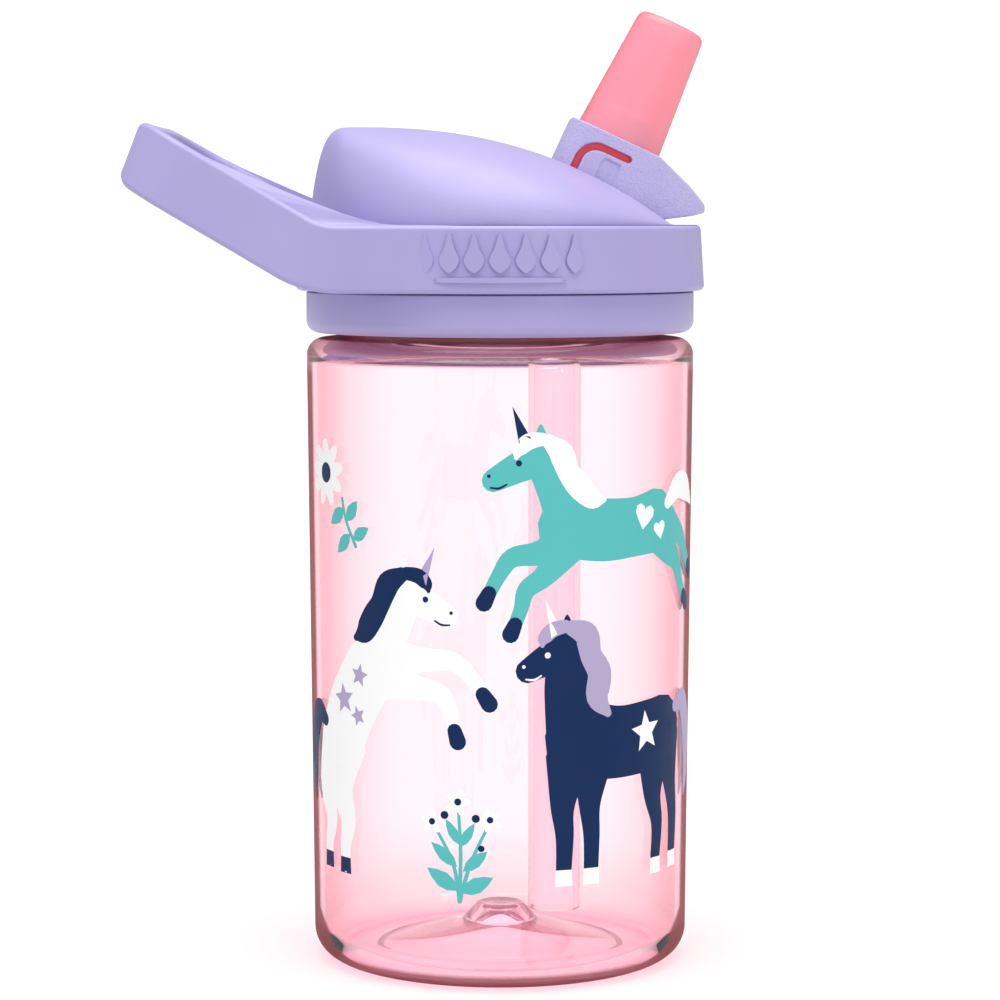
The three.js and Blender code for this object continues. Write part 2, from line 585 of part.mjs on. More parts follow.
/** The slot that frees the springy tongue in each side of the spout. */
function tongueSlot() {
  const half = SLOT_WIDTH / 2;
  const [outer, inner] = [SLOT_RADIUS + half, SLOT_RADIUS - half];
  const topZ = SLOT_CENTRE_Z + SLOT_RADIUS;
  const shape = new THREE.Shape();
  shape.moveTo(SLOT_CENTRE_X - outer, SLOT_END_Z);
  shape.lineTo(SLOT_CENTRE_X - outer, SLOT_CENTRE_Z);
  shape.absarc(SLOT_CENTRE_X, SLOT_CENTRE_Z, outer, Math.PI, Math.PI / 2, true);
  shape.absarc(SLOT_END_X, topZ, half, Math.PI / 2, -Math.PI / 2, true);
  shape.absarc(SLOT_CENTRE_X, SLOT_CENTRE_Z, inner, Math.PI / 2, Math.PI, false);
  shape.lineTo(SLOT_CENTRE_X - inner, SLOT_END_Z);
  return shape;
}

function flipSpout() {
  const half = SPOUT_HALF_WIDTH;
  const past = 1; // cutters run past the faces they cut
  const tall = 40;
  const plan = new THREE.ExtrudeGeometry(spoutPlan(), { depth: tall, bevelEnabled: false, curveSegments: 3 });
  const body = solid(sideways(spoutSide(), half)).intersect(solid(plan.translate(0, 0, -tall / 2)));
  const trunnions = new THREE.CylinderGeometry(
    TRUNNION_RADIUS, TRUNNION_RADIUS, 2 * (half + TRUNNION_LENGTH), SMALL_SEGMENTS,
  ).translate(-SPOUT_AXIS_OFFSET, 0, -SPOUT_AXIS_RISE);
  const socket = post(SOCKET_RADIUS, SOCKET_FLOOR, SPOUT_RIM + past);
  const nozzle = post(NOZZLE_RADIUS, SOCKET_FLOOR - past, NOZZLE_TOP);
  const bore = post(FLOW_RADIUS, -SPOUT_AXIS_RISE - DRUM_RADIUS - past, NOZZLE_TOP + past);
  let spout = body.add(solid(trunnions)).subtract(solid(socket)).add(solid(nozzle)).subtract(solid(bore));
  const slotHalf = (SLOT_DEPTH + past) / 2;
  for (const side of [-1, 1]) {
    const slot = sideways(tongueSlot(), slotHalf, { curveSegments: 3 });
    spout = spout.subtract(solid(slot.translate(0, side * (half + past - slotHalf), 0)));
  }
  return geometryOf(spout);
}

function biteValve() {
  const bottom = SOCKET_FLOOR + GAP;
  const cavityTop = VALVE_TOP - VALVE_TIP_WALL;
  const fillet = VALVE_TIP_FILLET;
  const path = new THREE.Path();
  path.moveTo(0, cavityTop);
  path.lineTo(VALVE_TIP_BORE_RADIUS, cavityTop);
  path.lineTo(VALVE_BORE_RADIUS - VALVE_NARROWING, NOZZLE_TOP + 2 * VALVE_NARROWING);
  path.lineTo(VALVE_BORE_RADIUS, NOZZLE_TOP);
  path.lineTo(VALVE_BORE_RADIUS, bottom);
  path.lineTo(VALVE_BASE_RADIUS, bottom);
  path.lineTo(VALVE_BASE_RADIUS, SPOUT_RIM);
  path.absarc(VALVE_TIP_RADIUS - fillet, VALVE_TOP - fillet, fillet, 0, Math.PI / 2, false);
  path.lineTo(0, VALVE_TOP);
  const slit = new THREE.BoxGeometry(SLIT_WIDTH, SLIT_LENGTH, 3 * VALVE_TIP_WALL);
  const body = solid(turned(path.getPoints(2), SMALL_SEGMENTS));
  return geometryOf(body.subtract(solid(slit.translate(0, 0, VALVE_TOP))));
}

// ---------------------------------------------------------------- the whole bottle

const lid = new THREE.Group();
lid.add(
  piece('lid_gasket', lidGasket(), CLEAR_SILICONE),
  piece('lid_collar', lidCollar(), LILAC),
  piece('inner_cap', innerCap(), LILAC),
  piece('lid_dome', lidDome(), LILAC),
  piece('carry_handle', bendUp(carryHandle()), LILAC),
  piece('straw', straw(), CLEAR_PINK),
  piece('spout_seal', spoutSeal(), CLEAR_SILICONE),
  piece('vent_valve', ventValve(), CLEAR_SILICONE),
);

const spout = new THREE.Group();
spout.rotation.y = SPOUT_TILT;
spout.position.set(
  PIVOT_X + SPOUT_AXIS_OFFSET * Math.cos(SPOUT_TILT) + SPOUT_AXIS_RISE * Math.sin(SPOUT_TILT),
  0,
  PIVOT_Z - SPOUT_AXIS_OFFSET * Math.sin(SPOUT_TILT) + SPOUT_AXIS_RISE * Math.cos(SPOUT_TILT),
);
spout.add(
  piece('flip_spout', flipSpout(), LILAC),
  piece('bite_valve', biteValve(), CORAL_SILICONE),
);
lid.add(spout);

const bottle = new THREE.Group();
bottle.add(piece('bottle_body', bottleBody(), CLEAR_PINK), lid);

const whole = new THREE.Group();
bottle.position.x = FOOTPRINT_SHIFT;
whole.add(bottle);

export default whole;
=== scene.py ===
"""Looks of the kids' water bottle: camera, light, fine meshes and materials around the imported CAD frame.

Lengths below are in millimetres about the bottle's own axis, +X towards the open spout and +Z up.
raw() turns them into metres, and dress() moves a piece to its place in the frame.
"""
import math

import bmesh
import bpy
from mathutils import Matrix, Vector
from mathutils.geometry import delaunay_2d_cdt


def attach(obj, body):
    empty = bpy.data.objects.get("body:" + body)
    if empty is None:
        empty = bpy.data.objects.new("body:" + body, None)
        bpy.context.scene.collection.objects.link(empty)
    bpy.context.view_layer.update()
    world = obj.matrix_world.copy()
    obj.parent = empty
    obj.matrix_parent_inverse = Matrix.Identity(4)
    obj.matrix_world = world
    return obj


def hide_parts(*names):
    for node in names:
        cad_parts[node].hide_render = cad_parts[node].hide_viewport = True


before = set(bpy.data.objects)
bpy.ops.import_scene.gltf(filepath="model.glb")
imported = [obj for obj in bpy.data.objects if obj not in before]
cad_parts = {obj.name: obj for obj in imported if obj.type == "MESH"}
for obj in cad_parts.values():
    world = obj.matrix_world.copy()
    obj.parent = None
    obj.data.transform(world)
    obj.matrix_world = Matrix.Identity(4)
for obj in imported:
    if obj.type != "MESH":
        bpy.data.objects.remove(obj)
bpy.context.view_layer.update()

MM = 0.001
AXIS_X = 15.6  # the bottle's axis in the frame

# ------------------------------------------------------------------ camera

EYE_DISTANCE = 620.0
EYE_HEIGHT = 140.6
EYE_PITCH = 4.906
LENS = 117.4

camera = bpy.data.objects.new("camera", bpy.data.cameras.new("camera"))
camera.data.lens = LENS
camera.data.sensor_width = 36.0
camera.data.clip_start = 0.01
camera.location = (AXIS_X * MM, -EYE_DISTANCE * MM, EYE_HEIGHT * MM)
camera.rotation_euler = (math.radians(90 - EYE_PITCH), 0, 0)
bpy.context.scene.collection.objects.link(camera)
bpy.context.scene.camera = camera

# ------------------------------------------------------------------ meshes


def raw(verts, faces, name="tool"):
    """A mesh object from millimetres about the bottle's axis, with its faces turned outwards."""
    mesh = bpy.data.meshes.new(name)
    mesh.from_pydata([Vector(v) * MM for v in verts], [], faces)
    bm = bmesh.new()
    bm.from_mesh(mesh)
    bmesh.ops.recalc_face_normals(bm, faces=bm.faces)
    bm.to_mesh(mesh)
    bm.free()
    obj = bpy.data.objects.new(name, mesh)
    bpy.context.scene.collection.objects.link(obj)
    return obj


def bake(obj):
    """Applies the object's modifiers, or turns a curve into a mesh."""
    bpy.context.view_layer.update()
    evaluated = obj.evaluated_get(bpy.context.evaluated_depsgraph_get())
    mesh = bpy.data.meshes.new_from_object(evaluated)
    if obj.type == "MESH":
        obj.modifiers.clear()
        obj.data = mesh
        return obj
    baked = bpy.data.objects.new(obj.name, mesh)
    bpy.context.scene.collection.objects.link(baked)
    bpy.data.objects.remove(obj)
    return baked


def combine(obj, tool, operation="DIFFERENCE"):
    """Joins the tool to the object or cuts it away, and removes the tool."""
    modifier = obj.modifiers.new("combine", "BOOLEAN")
    modifier.solver = "EXACT"
    modifier.operation = operation
    modifier.object = tool
    bake(obj)
    bpy.data.objects.remove(tool)
    return obj


def soften(obj, voxel, rounds):
    """Rounds every edge of a solid a little, as a mould does."""
    remesh = obj.modifiers.new("remesh", "REMESH")
    remesh.mode = "VOXEL"
    remesh.voxel_size = voxel * MM
    smooth = obj.modifiers.new("smooth", "SMOOTH")
    smooth.factor = 0.5
    smooth.iterations = rounds
    return bake(obj)


def arc(centre_x, centre_y, radius, start, end, steps):
    """Points on an arc, its angles in degrees."""
    turns = [math.radians(start + (end - start) * i / steps) for i in range(steps + 1)]
    return [(centre_x + radius * math.cos(a), centre_y + radius * math.sin(a)) for a in turns]


def filleted(corners, closed=True, steps=7):
    """A line through (x, y, fillet radius) corners, each rounded to its radius."""
    points = []
    count = len(corners)
    for i, (x, y, radius) in enumerate(corners):
        here = Vector((x, y))
        if radius == 0 or (not closed and i in (0, count - 1)):
            points.append((x, y))
            continue
        back = Vector(corners[i - 1][:2]) - here
        ahead = Vector(corners[(i + 1) % count][:2]) - here
        half = back.angle(ahead) / 2
        reach = min(radius / math.tan(half), 0.49 * back.length, 0.49 * ahead.length)
        radius = reach * math.tan(half)
        centre = here + (back.normalized() + ahead.normalized()).normalized() * radius / math.sin(half)
        start = here + back.normalized() * reach - centre
        sweep = math.pi - 2 * half
        sweep = math.copysign(sweep, start.y * back.x - start.x * back.y)
        for step in range(steps + 1):
            spoke = start.copy()
            spoke.rotate(Matrix.Rotation(sweep * step / steps, 2))
            points.append(tuple(centre + spoke))
    return points


ON_AXIS = 1e-6  # a radius below this is taken as nought


def lathe(points, segments=128, x=0.0):
    """A closed profile of (radius, height) points turned about Z. Points on the axis become poles."""
    verts, rings, faces = [], [], []
    for radius, height in points:
        if radius < ON_AXIS:
            rings.append([len(verts)] * segments)
            verts.append((x, 0, height))
            continue
        rings.append(list(range(len(verts), len(verts) + segments)))
        turns = [2 * math.pi * i / segments for i in range(segments)]
        verts.extend((x + radius * math.cos(a), radius * math.sin(a), height) for a in turns)
    pairs = list(zip(rings, rings[1:]))
    if points[0][0] > ON_AXIS:
        pairs.append((rings[-1], rings[0]))
    for low, high in pairs:
        for i in range(segments):
            j = (i + 1) % segments
            face = list(dict.fromkeys((low[i], low[j], high[j], high[i])))
            if len(face) > 2:
                faces.append(face)
    return raw(verts, faces)


def extruded(near, far):
    """A solid between two copies of one outline."""
    count = len(near)
    sides = [(i, (i + 1) % count, count + (i + 1) % count, count + i) for i in range(count)]
    return raw([*near, *far], [list(range(count)), list(range(count, 2 * count)), *sides])


def prism(outline, half, centre_y=0.0):
    """An outline in X and Z, extruded along Y."""
    near = [(x, centre_y - half, z) for x, z in outline]
    far = [(x, centre_y + half, z) for x, z in outline]
    return extruded(near, far)


def plate(outline, bottom, top):
    """An outline in X and Y, extruded along Z."""
    return extruded([(x, y, bottom) for x, y in outline], [(x, y, top) for x, y in outline])


def post(radius, bottom, top, x=0.0, segments=64):
    """An upright cylinder."""
    return lathe([(0, bottom), (radius, bottom), (radius, top), (0, top)], segments, x)


def circle(x, y, radius, count):
    """Points all round a circle."""
    return arc(x, y, radius, 0, 360 - 360 / count, count - 1)


def pin(radius, half, x, z):
    """A cylinder lying along Y."""
    return prism(circle(x, z, radius, 48), half)


def dress(obj, name, body, material, nodes=(), tilt=None, sharp=35):
    """Moves a finished mesh to its place in the frame and gives it its name, looks and body."""
    obj.name = obj.data.name = name
    if tilt is not None:
        obj.data.transform(tilt)
    obj.data.transform(Matrix.Translation((AXIS_X * MM, 0, 0)))
    obj.data.materials.clear()
    obj.data.materials.append(material)
    obj.data.shade_smooth()
    obj.data.set_sharp_from_angle(angle=math.radians(sharp))
    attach(obj, body)
    if nodes:
        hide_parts(*nodes)
    return obj


# ------------------------------------------------------------------ materials


def node(tree, kind, links=(), **values):
    """A new node, with plain values and then links put on its inputs."""
    made = tree.nodes.new(kind)
    for key, value in values.items():
        setattr(made, key, value)
    for socket, source in dict(links).items():
        if isinstance(source, bpy.types.NodeSocket):
            tree.links.new(source, made.inputs[socket])
        else:
            made.inputs[socket].default_value = source
    return made


def principled(name, sockets):
    """A Principled material with plain values; returns it with its tree and shader."""
    material = bpy.data.materials.new(name)
    material.use_nodes = True
    shader = material.node_tree.nodes["Principled BSDF"]
    for socket, value in sockets.items():
        shader.inputs[socket].default_value = value
    return material, material.node_tree, shader


def noise(tree, scale, detail=3.0):
    """Noise fixed to the piece, with about one lump in 1/scale metres."""
    place = node(tree, "ShaderNodeTexCoord").outputs["Object"]
    made = node(tree, "ShaderNodeTexNoise", {"Vector": place, "Scale": scale, "Detail": detail})
    return made.outputs["Fac"]


def spread(tree, source, low, high, start=0.3, end=0.7):
    """A value mapped from one range to another."""
    links = {"Value": source, "From Min": start, "From Max": end, "To Min": low, "To Max": high}
    return node(tree, "ShaderNodeMapRange", links).outputs["Result"]


def blended(tree, factor, first, second):
    """Two colours mixed by a factor; returns the mixed colour's socket."""
    mix = node(tree, "ShaderNodeMix", {"Factor": factor}, data_type="RGBA")
    sockets = [s for s in mix.inputs if s.type == "RGBA"]
    for socket, tone in zip(sockets, (first, second)):
        if isinstance(tone, bpy.types.NodeSocket):
            tree.links.new(tone, socket)
        else:
            socket.default_value = (*tone, 1)
    return [s for s in mix.outputs if s.type == "RGBA"][0]


def mottled(tree, shader, dark, light, scale):
    """Colour that drifts softly between two tones."""
    tree.links.new(blended(tree, noise(tree, scale), dark, light), shader.inputs["Base Color"])


def bumped(tree, shader, height, strength, distance):
    """Relief from a height, distance in millimetres."""
    bump = node(tree, "ShaderNodeBump", {"Height": height, "Strength": strength, "Distance": distance * MM})
    tree.links.new(bump.outputs["Normal"], shader.inputs["Normal"])


# how finely these drift, in lumps a metre
TONE_SCALE, SHEEN_SCALE = 55, 160  # a moulding's tone and roughness
CLEAR_SHEEN_SCALE, HAZE_SCALE = 90, 60  # clear plastic's roughness and relief


def moulded(name, dark, light, roughness, grain, depth, **extra):
    """Moulded plastic: tone drift, uneven sheen and a fine eroded grain of a given depth in millimetres."""
    material, tree, shader = principled(name, {"IOR": 1.49, **extra})
    mottled(tree, shader, dark, light, TONE_SCALE)
    tree.links.new(spread(tree, noise(tree, SHEEN_SCALE), *roughness), shader.inputs["Roughness"])
    bumped(tree, shader, noise(tree, grain, 2), 0.5, depth)
    return material


def math_node(tree, operation, first, second):
    """The result of one operation on two values."""
    return node(tree, "ShaderNodeMath", {0: first, 1: second}, operation=operation).outputs[0]


def painted_wall_shade(tree, facing):
    """Where the wall gets a red-brown painted shade: along its outline and at its foot, shoulder and neck.
    It is partly the thick wall's own deeper colour and partly painted shade and dark reflections, seen by
    the camera only.
    """
    place = node(tree, "ShaderNodeTexCoord").outputs["Object"]
    height = node(tree, "ShaderNodeSeparateXYZ", {0: place}).outputs["Z"]

    def between(low, high, start, end):
        """A share that goes from one value to another over a stretch of height."""
        return spread(tree, height, low, high, start * MM, end * MM)

    edge_on = math_node(tree, "ADD", facing, between(0.15, 0, 7, 11))  # a wider outline near the foot
    outline = spread(tree, edge_on, 0, 0.9, 0.74, 0.79)
    outline = math_node(tree, "MULTIPLY", outline, between(1, 0.5, 112, 116))  # fainter at the shoulder
    # painted shade at the foot and at the shoulder
    foot = between(0.85, 0, 2.4, 3.4)
    shoulder = between(0, 0.42, 115, 117)
    # painted shade: the neck's dark band under the collar
    neck = math_node(tree, "MULTIPLY", between(0, 0.95, 118.1, 118.4), between(1, 0.12, 119.6, 120.6))
    painted_shade = math_node(tree, "MAXIMUM", outline, foot)
    for share in (shoulder, neck):
        painted_shade = math_node(tree, "MAXIMUM", painted_shade, share)
    first_hit = node(tree, "ShaderNodeLightPath").outputs["Is Camera Ray"]
    return math_node(tree, "MULTIPLY", painted_shade, first_hit)


TRAPPED_DEPTH = 5  # light that has met clear plastic more often than this goes straight on


def clear(name, ramp, shade, ior, roughness, absorbed, density, haze, clarity=1.0, painted_shade=None):
    """Clear plastic with a colour that deepens as it is seen more edge-on. Lamps shine through it.

    ramp: colours by how edge-on the surface is; shade: the colour of light that goes straight through;
    painted_shade: the colour of the red-brown painted shade, partly the thick wall's own deeper colour,
    laid where painted_wall_shade() puts it.
    """
    material, tree, shader = principled(name, {"IOR": ior, "Transmission Weight": clarity})
    facing = node(tree, "ShaderNodeLayerWeight", {"Blend": 0.5}).outputs["Facing"]
    tones = node(tree, "ShaderNodeValToRGB", {"Fac": facing})
    while len(tones.color_ramp.elements) < len(ramp):
        tones.color_ramp.elements.new(1.0)
    for element, (place, tone) in zip(tones.color_ramp.elements, ramp):
        element.position = place
        element.color = (*tone, 1)
    tree.links.new(tones.outputs["Color"], shader.inputs["Base Color"])
    tree.links.new(spread(tree, noise(tree, CLEAR_SHEEN_SCALE), *roughness), shader.inputs["Roughness"])
    bumped(tree, shader, noise(tree, HAZE_SCALE, 1), 0.25, haze)
    output = tree.nodes["Material Output"]
    through = node(tree, "ShaderNodeBsdfTransparent", {"Color": (*shade, 1)})
    ray = node(tree, "ShaderNodeLightPath").outputs
    trapped = math_node(tree, "GREATER_THAN", ray["Ray Depth"], TRAPPED_DEPTH)
    passing = math_node(tree, "MAXIMUM", ray["Is Shadow Ray"], trapped)
    surface = shader.outputs[0]
    if painted_shade:
        # a red-brown Diffuse sheet: painted shade on the wall, seen by the camera only
        depth = node(tree, "ShaderNodeBsdfDiffuse", {"Color": (*painted_shade, 1)})
        surface = node(tree, "ShaderNodeMixShader", {
            0: painted_wall_shade(tree, facing), 1: surface, 2: depth.outputs[0],
        }).outputs[0]
    both = node(tree, "ShaderNodeMixShader", {0: passing, 1: surface, 2: through.outputs[0]})
    tree.links.new(both.outputs[0], output.inputs["Surface"])
    volume = node(tree, "ShaderNodeVolumeAbsorption", {"Color": (*absorbed, 1), "Density": density})
    tree.links.new(volume.outputs[0], output.inputs["Volume"])
    return material


LILAC_DARK, LILAC_LIGHT = (0.405, 0.358, 0.680), (0.450, 0.402, 0.715)
LILAC = moulded("lilac_plastic", LILAC_DARK, LILAC_LIGHT, (0.34, 0.46), 2600, 0.05)
LILAC_COLLAR = moulded("lilac_plastic_collar", LILAC_DARK, LILAC_LIGHT, (0.30, 0.34), 2600, 0.02)
LILAC_HIDDEN = moulded("lilac_plastic_inside", (0.400, 0.350, 0.670), LILAC_LIGHT, (0.42, 0.55), 900, 0.05)
# the spout's spark-eroded plastic, lighter than the other lilac: a painted highlight standing in for the
# lever's sparkle
LILAC_ERODED_HIGHLIT = moulded(
    "lilac_plastic_eroded_highlit", (0.530, 0.485, 0.790), (0.575, 0.530, 0.820), (0.24, 0.32), 1900, 0.35,
)
CLEAR_PINK = clear(
    "clear_pink_plastic",
    [
        (0.0, (1.0, 0.94, 0.945)), (0.2, (1.0, 0.915, 0.925)), (0.41, (1.0, 0.775, 0.80)),
        (0.6, (0.995, 0.53, 0.58)), (0.8, (0.93, 0.36, 0.41)), (1.0, (0.5, 0.15, 0.22)),
    ],
    shade=(0.985, 0.89, 0.92), ior=1.52, roughness=(0.0, 0.02), absorbed=(0.93, 0.129, 0.468), density=36,
    # the last colour is the red-brown painted shade of the outline, foot, shoulder and neck, partly the
    # thick wall's own deeper colour
    haze=0.02, painted_shade=(0.36, 0.105, 0.115),
)
CLEAR_STRAW = clear(
    "straw_plastic",
    [(0.0, (1.0, 0.97, 0.98)), (0.5, (1.0, 0.93, 0.95)), (1.0, (0.97, 0.68, 0.74))],
    shade=(0.995, 0.965, 0.975), ior=1.32, roughness=(0.04, 0.09), absorbed=(0.97, 0.55, 0.68), density=110,
    haze=0.01,
)
CORAL = clear(
    "coral_silicone",
    [
        (0.0, (1.0, 0.49, 0.58)), (0.5, (1.0, 0.44, 0.53)), (0.8, (0.97, 0.31, 0.40)),
        (1.0, (0.9, 0.20, 0.28)),
    ],
    shade=(1.0, 0.6, 0.66), ior=1.41, roughness=(0.32, 0.40), absorbed=(0.985, 0.05, 0.22), density=34,
    haze=0.01, clarity=0.42,
)
CORAL_DEEP = moulded(
    "coral_silicone_deep", (0.90, 0.075, 0.11), (0.95, 0.085, 0.12), (0.4, 0.5), 1200, 0.02,
)
MILKY = moulded(
    "milky_silicone", (0.82, 0.80, 0.80), (0.90, 0.87, 0.87), (0.35, 0.5), 1200, 0.03,
    **{"Subsurface Weight": 0.4, "Subsurface Scale": 0.002},
)


def ink(name, colour, painted_glow=0.0):
    """Screen-printed ink: nearly even, with the print's faint tooth, and a faint painted glow where one is
    given.
    """
    soft = tuple(min(1.0, c * 1.05 + 0.002) for c in colour)
    return moulded(name, colour, soft, (0.38, 0.50), 2400, 0.012, **{
        "Specular IOR Level": 0.15, "Emission Color": (1, 1, 1, 1), "Emission Strength": painted_glow,
    })


INKS = {
    # white ink glows faintly: painted light that keeps the print bright
    "white": ink("ink_white", (0.97, 0.97, 0.97), 0.07),
    "teal": ink("ink_teal", (0.108, 0.547, 0.535)),
    "navy": ink("ink_navy", (0.003, 0.024, 0.098)),
    "lavender": ink("ink_lavender", (0.473, 0.402, 0.617)),
}

# ------------------------------------------------------------------ bottle

WALL_LOW = (35.6, 9.5)  # outside radius and height where the straight wall starts
WALL_HIGH = (36.65, 113.5)
NECK_RADIUS = 30
THREAD_DEPTH, THREAD_LEAD, THREAD_TURNS, THREAD_BOTTOM = 1.4, 4.0, 1.2, 121.8
THREAD_FADE = 0.06  # share of the thread over which it rises from the neck at either end


def wall_radius(z):
    """Outside radius of the tapered wall."""
    along = (z - WALL_LOW[1]) / (WALL_HIGH[1] - WALL_LOW[1])
    return WALL_LOW[0] + (WALL_HIGH[0] - WALL_LOW[0]) * along


def thread(steps=96):
    """The neck's helical thread: a trapezoid wound round Z, fading at its ends."""
    verts, faces = [], []
    for i in range(steps + 1):
        along = i / steps
        depth = THREAD_DEPTH * min(1.0, min(along, 1 - along) / THREAD_FADE)
        angle = 2 * math.pi * THREAD_TURNS * along
        z = THREAD_BOTTOM + THREAD_LEAD * THREAD_TURNS * along
        # its section: rooted in the neck, out to its crest and back
        for out, up in ((-0.4, -0.95), (depth, -0.45), (depth, 0.45), (-0.4, 0.95)):
            radius = NECK_RADIUS + out
            verts.append((radius * math.cos(angle), radius * math.sin(angle), z + up))
    for i in range(0, 4 * steps, 4):
        faces += [(i + a, i + (a + 1) % 4, i + 4 + (a + 1) % 4, i + 4 + a) for a in range(4)]
    return raw(verts, [(0, 1, 2, 3), tuple(4 * steps + a for a in range(4)), *faces])


def bottle_profile():
    """The bottle's wall, from the middle of its underside round to the middle of its floor."""
    return filleted([
        # underside and foot
        (0, 8.3, 0), (2.8, 8.3, 0.8), (5.2, 5.3, 1.5), (22.7, 0.7, 1.2), (23.5, 0, 0.4), (35.53, 0, 9.5),
        # outside of the shoulder and neck
        (36.7, 118.5, 5.0), (NECK_RADIUS, 118.5, 0.6), (NECK_RADIUS, 128, 0.5),
        # inside of the neck and shoulder
        (27.8, 128, 0.5), (27.8, 118.2, 1.5), (28.9, 116.7, 1.0), (34.88, 116.7, 3.2),
        # floor
        (33.73, 1.8, 7.7), (22.5, 2.4, 2.0), (7.2, 6.9, 1.8), (4.2, 10.0, 1.2), (0, 9.4, 0),
    ], closed=False, steps=24)


body = lathe(bottle_profile(), 160)
combine(body, thread(), "UNION")
dress(body, "bottle_shell", "bottle", CLEAR_PINK, ["bottle_body"], sharp=30)

STRAW_X = 10.4
straw_wall = filleted([(4, 8.8, 0.4), (5, 8.8, 0.4), (5, 129.6, 0.3), (4, 129.6, 0.3)], steps=4)
straw = lathe(straw_wall, 64, STRAW_X)
dress(straw, "drinking_straw", "lid", CLEAR_STRAW, ["straw"])

# ------------------------------------------------------------------ lid

gasket = lathe(filleted([
    (28.1, 128.2, 0.4), (30.1, 128.2, 0.4), (30.1, 129.9, 0.4), (28.1, 129.9, 0.4),
], steps=4))
dress(gasket, "neck_gasket", "sealing_ring", MILKY, ["lid_gasket"])

collar = lathe(filleted([
    (32.2, 119.5, 0.3), (36.7, 119.5, 4.0), (36.7, 127.2, 0.3), (34, 127.2, 0.2), (34, 120.5, 0),
    (32.2, 120.5, 0.2),
], steps=10))
dress(collar, "screw_collar", "collar", LILAC_COLLAR, ["lid_collar"])

BAND_RADIUS, BAND_HOLE = 38.7, 36.4
BAND_BOTTOM, BAND_TOP = 127.4, 139.7
BAND_EDGE = 1.0
LOOP_ANGLE, LOOP_TAPER = math.radians(30), math.radians(10)
LOOP_BEND_X, LOOP_BEND_RADIUS, LOOP_LENGTH = -33.7, 16.0, 39.75
LOOP_CORNER, LOOP_THICKNESS = 14.0, 5.0
LOOP_LEAN = 0.16  # its top edge reaches further than its bottom edge, by this share of its height
LOOP_NOSE, LOOP_NOSE_DROP = 3.0, 0.16  # over this length its end grows less tall, by this share
BAND_DRAFT = 0.02  # share by which the band and loop narrow from bottom to top
FINGER_START = 136  # angle where the finger hole's round stretch meets its straight sides


def steps_to(points, end, steps):
    """Adds a straight stretch in equal steps."""
    start = Vector(points[-1])
    points.extend(tuple(start.lerp(Vector(end), i / steps)) for i in range(1, steps + 1))


def handle_lines():
    """Plan of the band and loop before the loop is bent up: outer line, dome hole and finger hole."""
    leave = 90 + math.degrees(LOOP_TAPER)
    corner_x = LOOP_BEND_X - LOOP_LENGTH + LOOP_CORNER
    corner_y = (BAND_RADIUS - LOOP_CORNER) / math.cos(LOOP_TAPER) + corner_x * math.tan(LOOP_TAPER)
    outer = arc(0, 0, BAND_RADIUS, -leave, leave, 120)
    upper = arc(corner_x, corner_y, LOOP_CORNER, leave, 180, 24)
    steps_to(outer, upper[0], 48)
    outer += upper[1:]
    lower = arc(corner_x, -corner_y, LOOP_CORNER, 180, 360 - leave, 24)
    steps_to(outer, lower[0], 12)
    outer += lower[1:]
    steps_to(outer, outer[0], 48)
    inner_radius = LOOP_CORNER - LOOP_THICKNESS
    finger = arc(0, 0, BAND_RADIUS, FINGER_START, 360 - FINGER_START, 48)
    lower = arc(corner_x, -corner_y, inner_radius, 360 - leave, 180, 16)
    steps_to(finger, lower[0], 32)
    finger += lower[1:]
    upper = arc(corner_x, corner_y, inner_radius, 180, leave, 16)
    steps_to(finger, upper[0], 12)
    finger += upper[1:]
    steps_to(finger, finger[0], 32)
    return outer[:-1], circle(0, 0, BAND_HOLE, 144), finger[:-1]


def bent(x, y, z):
    """Where a point of the flat handle goes when the loop is bent up on an arc and its end is shaped."""
    half_height = (BAND_TOP - BAND_BOTTOM) / 2
    arc_start = LOOP_BEND_X + LOOP_BEND_RADIUS * math.tan(LOOP_ANGLE / 2)
    straight = arc_start - LOOP_BEND_X + LOOP_LENGTH - LOOP_ANGLE * LOOP_BEND_RADIUS
    reach = math.hypot(x, y)
    along = 0.0 if reach < BAND_RADIUS + 0.05 else max(0.0, arc_start - x)
    turn = min(along / LOOP_BEND_RADIUS, LOOP_ANGLE)
    level = along - turn * LOOP_BEND_RADIUS
    nose = max(0.0, 1 - (straight - level) / LOOP_NOSE)
    lift = z * (1 - LOOP_NOSE_DROP * nose ** 2)
    run = level + lift * LOOP_LEAN * turn / LOOP_ANGLE
    sin, cos = math.sin(turn), math.cos(turn)
    if reach > (BAND_RADIUS + BAND_HOLE) / 2:
        narrowing = 1 - BAND_DRAFT * (0.5 + 0.5 * z / half_height)
        y *= narrowing
        x *= narrowing if x > 0 else 1
    middle_x = x + along - LOOP_BEND_RADIUS * sin - run * cos
    middle_z = BAND_BOTTOM + half_height + LOOP_BEND_RADIUS * (1 - cos) + run * sin
    return middle_x + lift * sin, y, middle_z + lift * cos


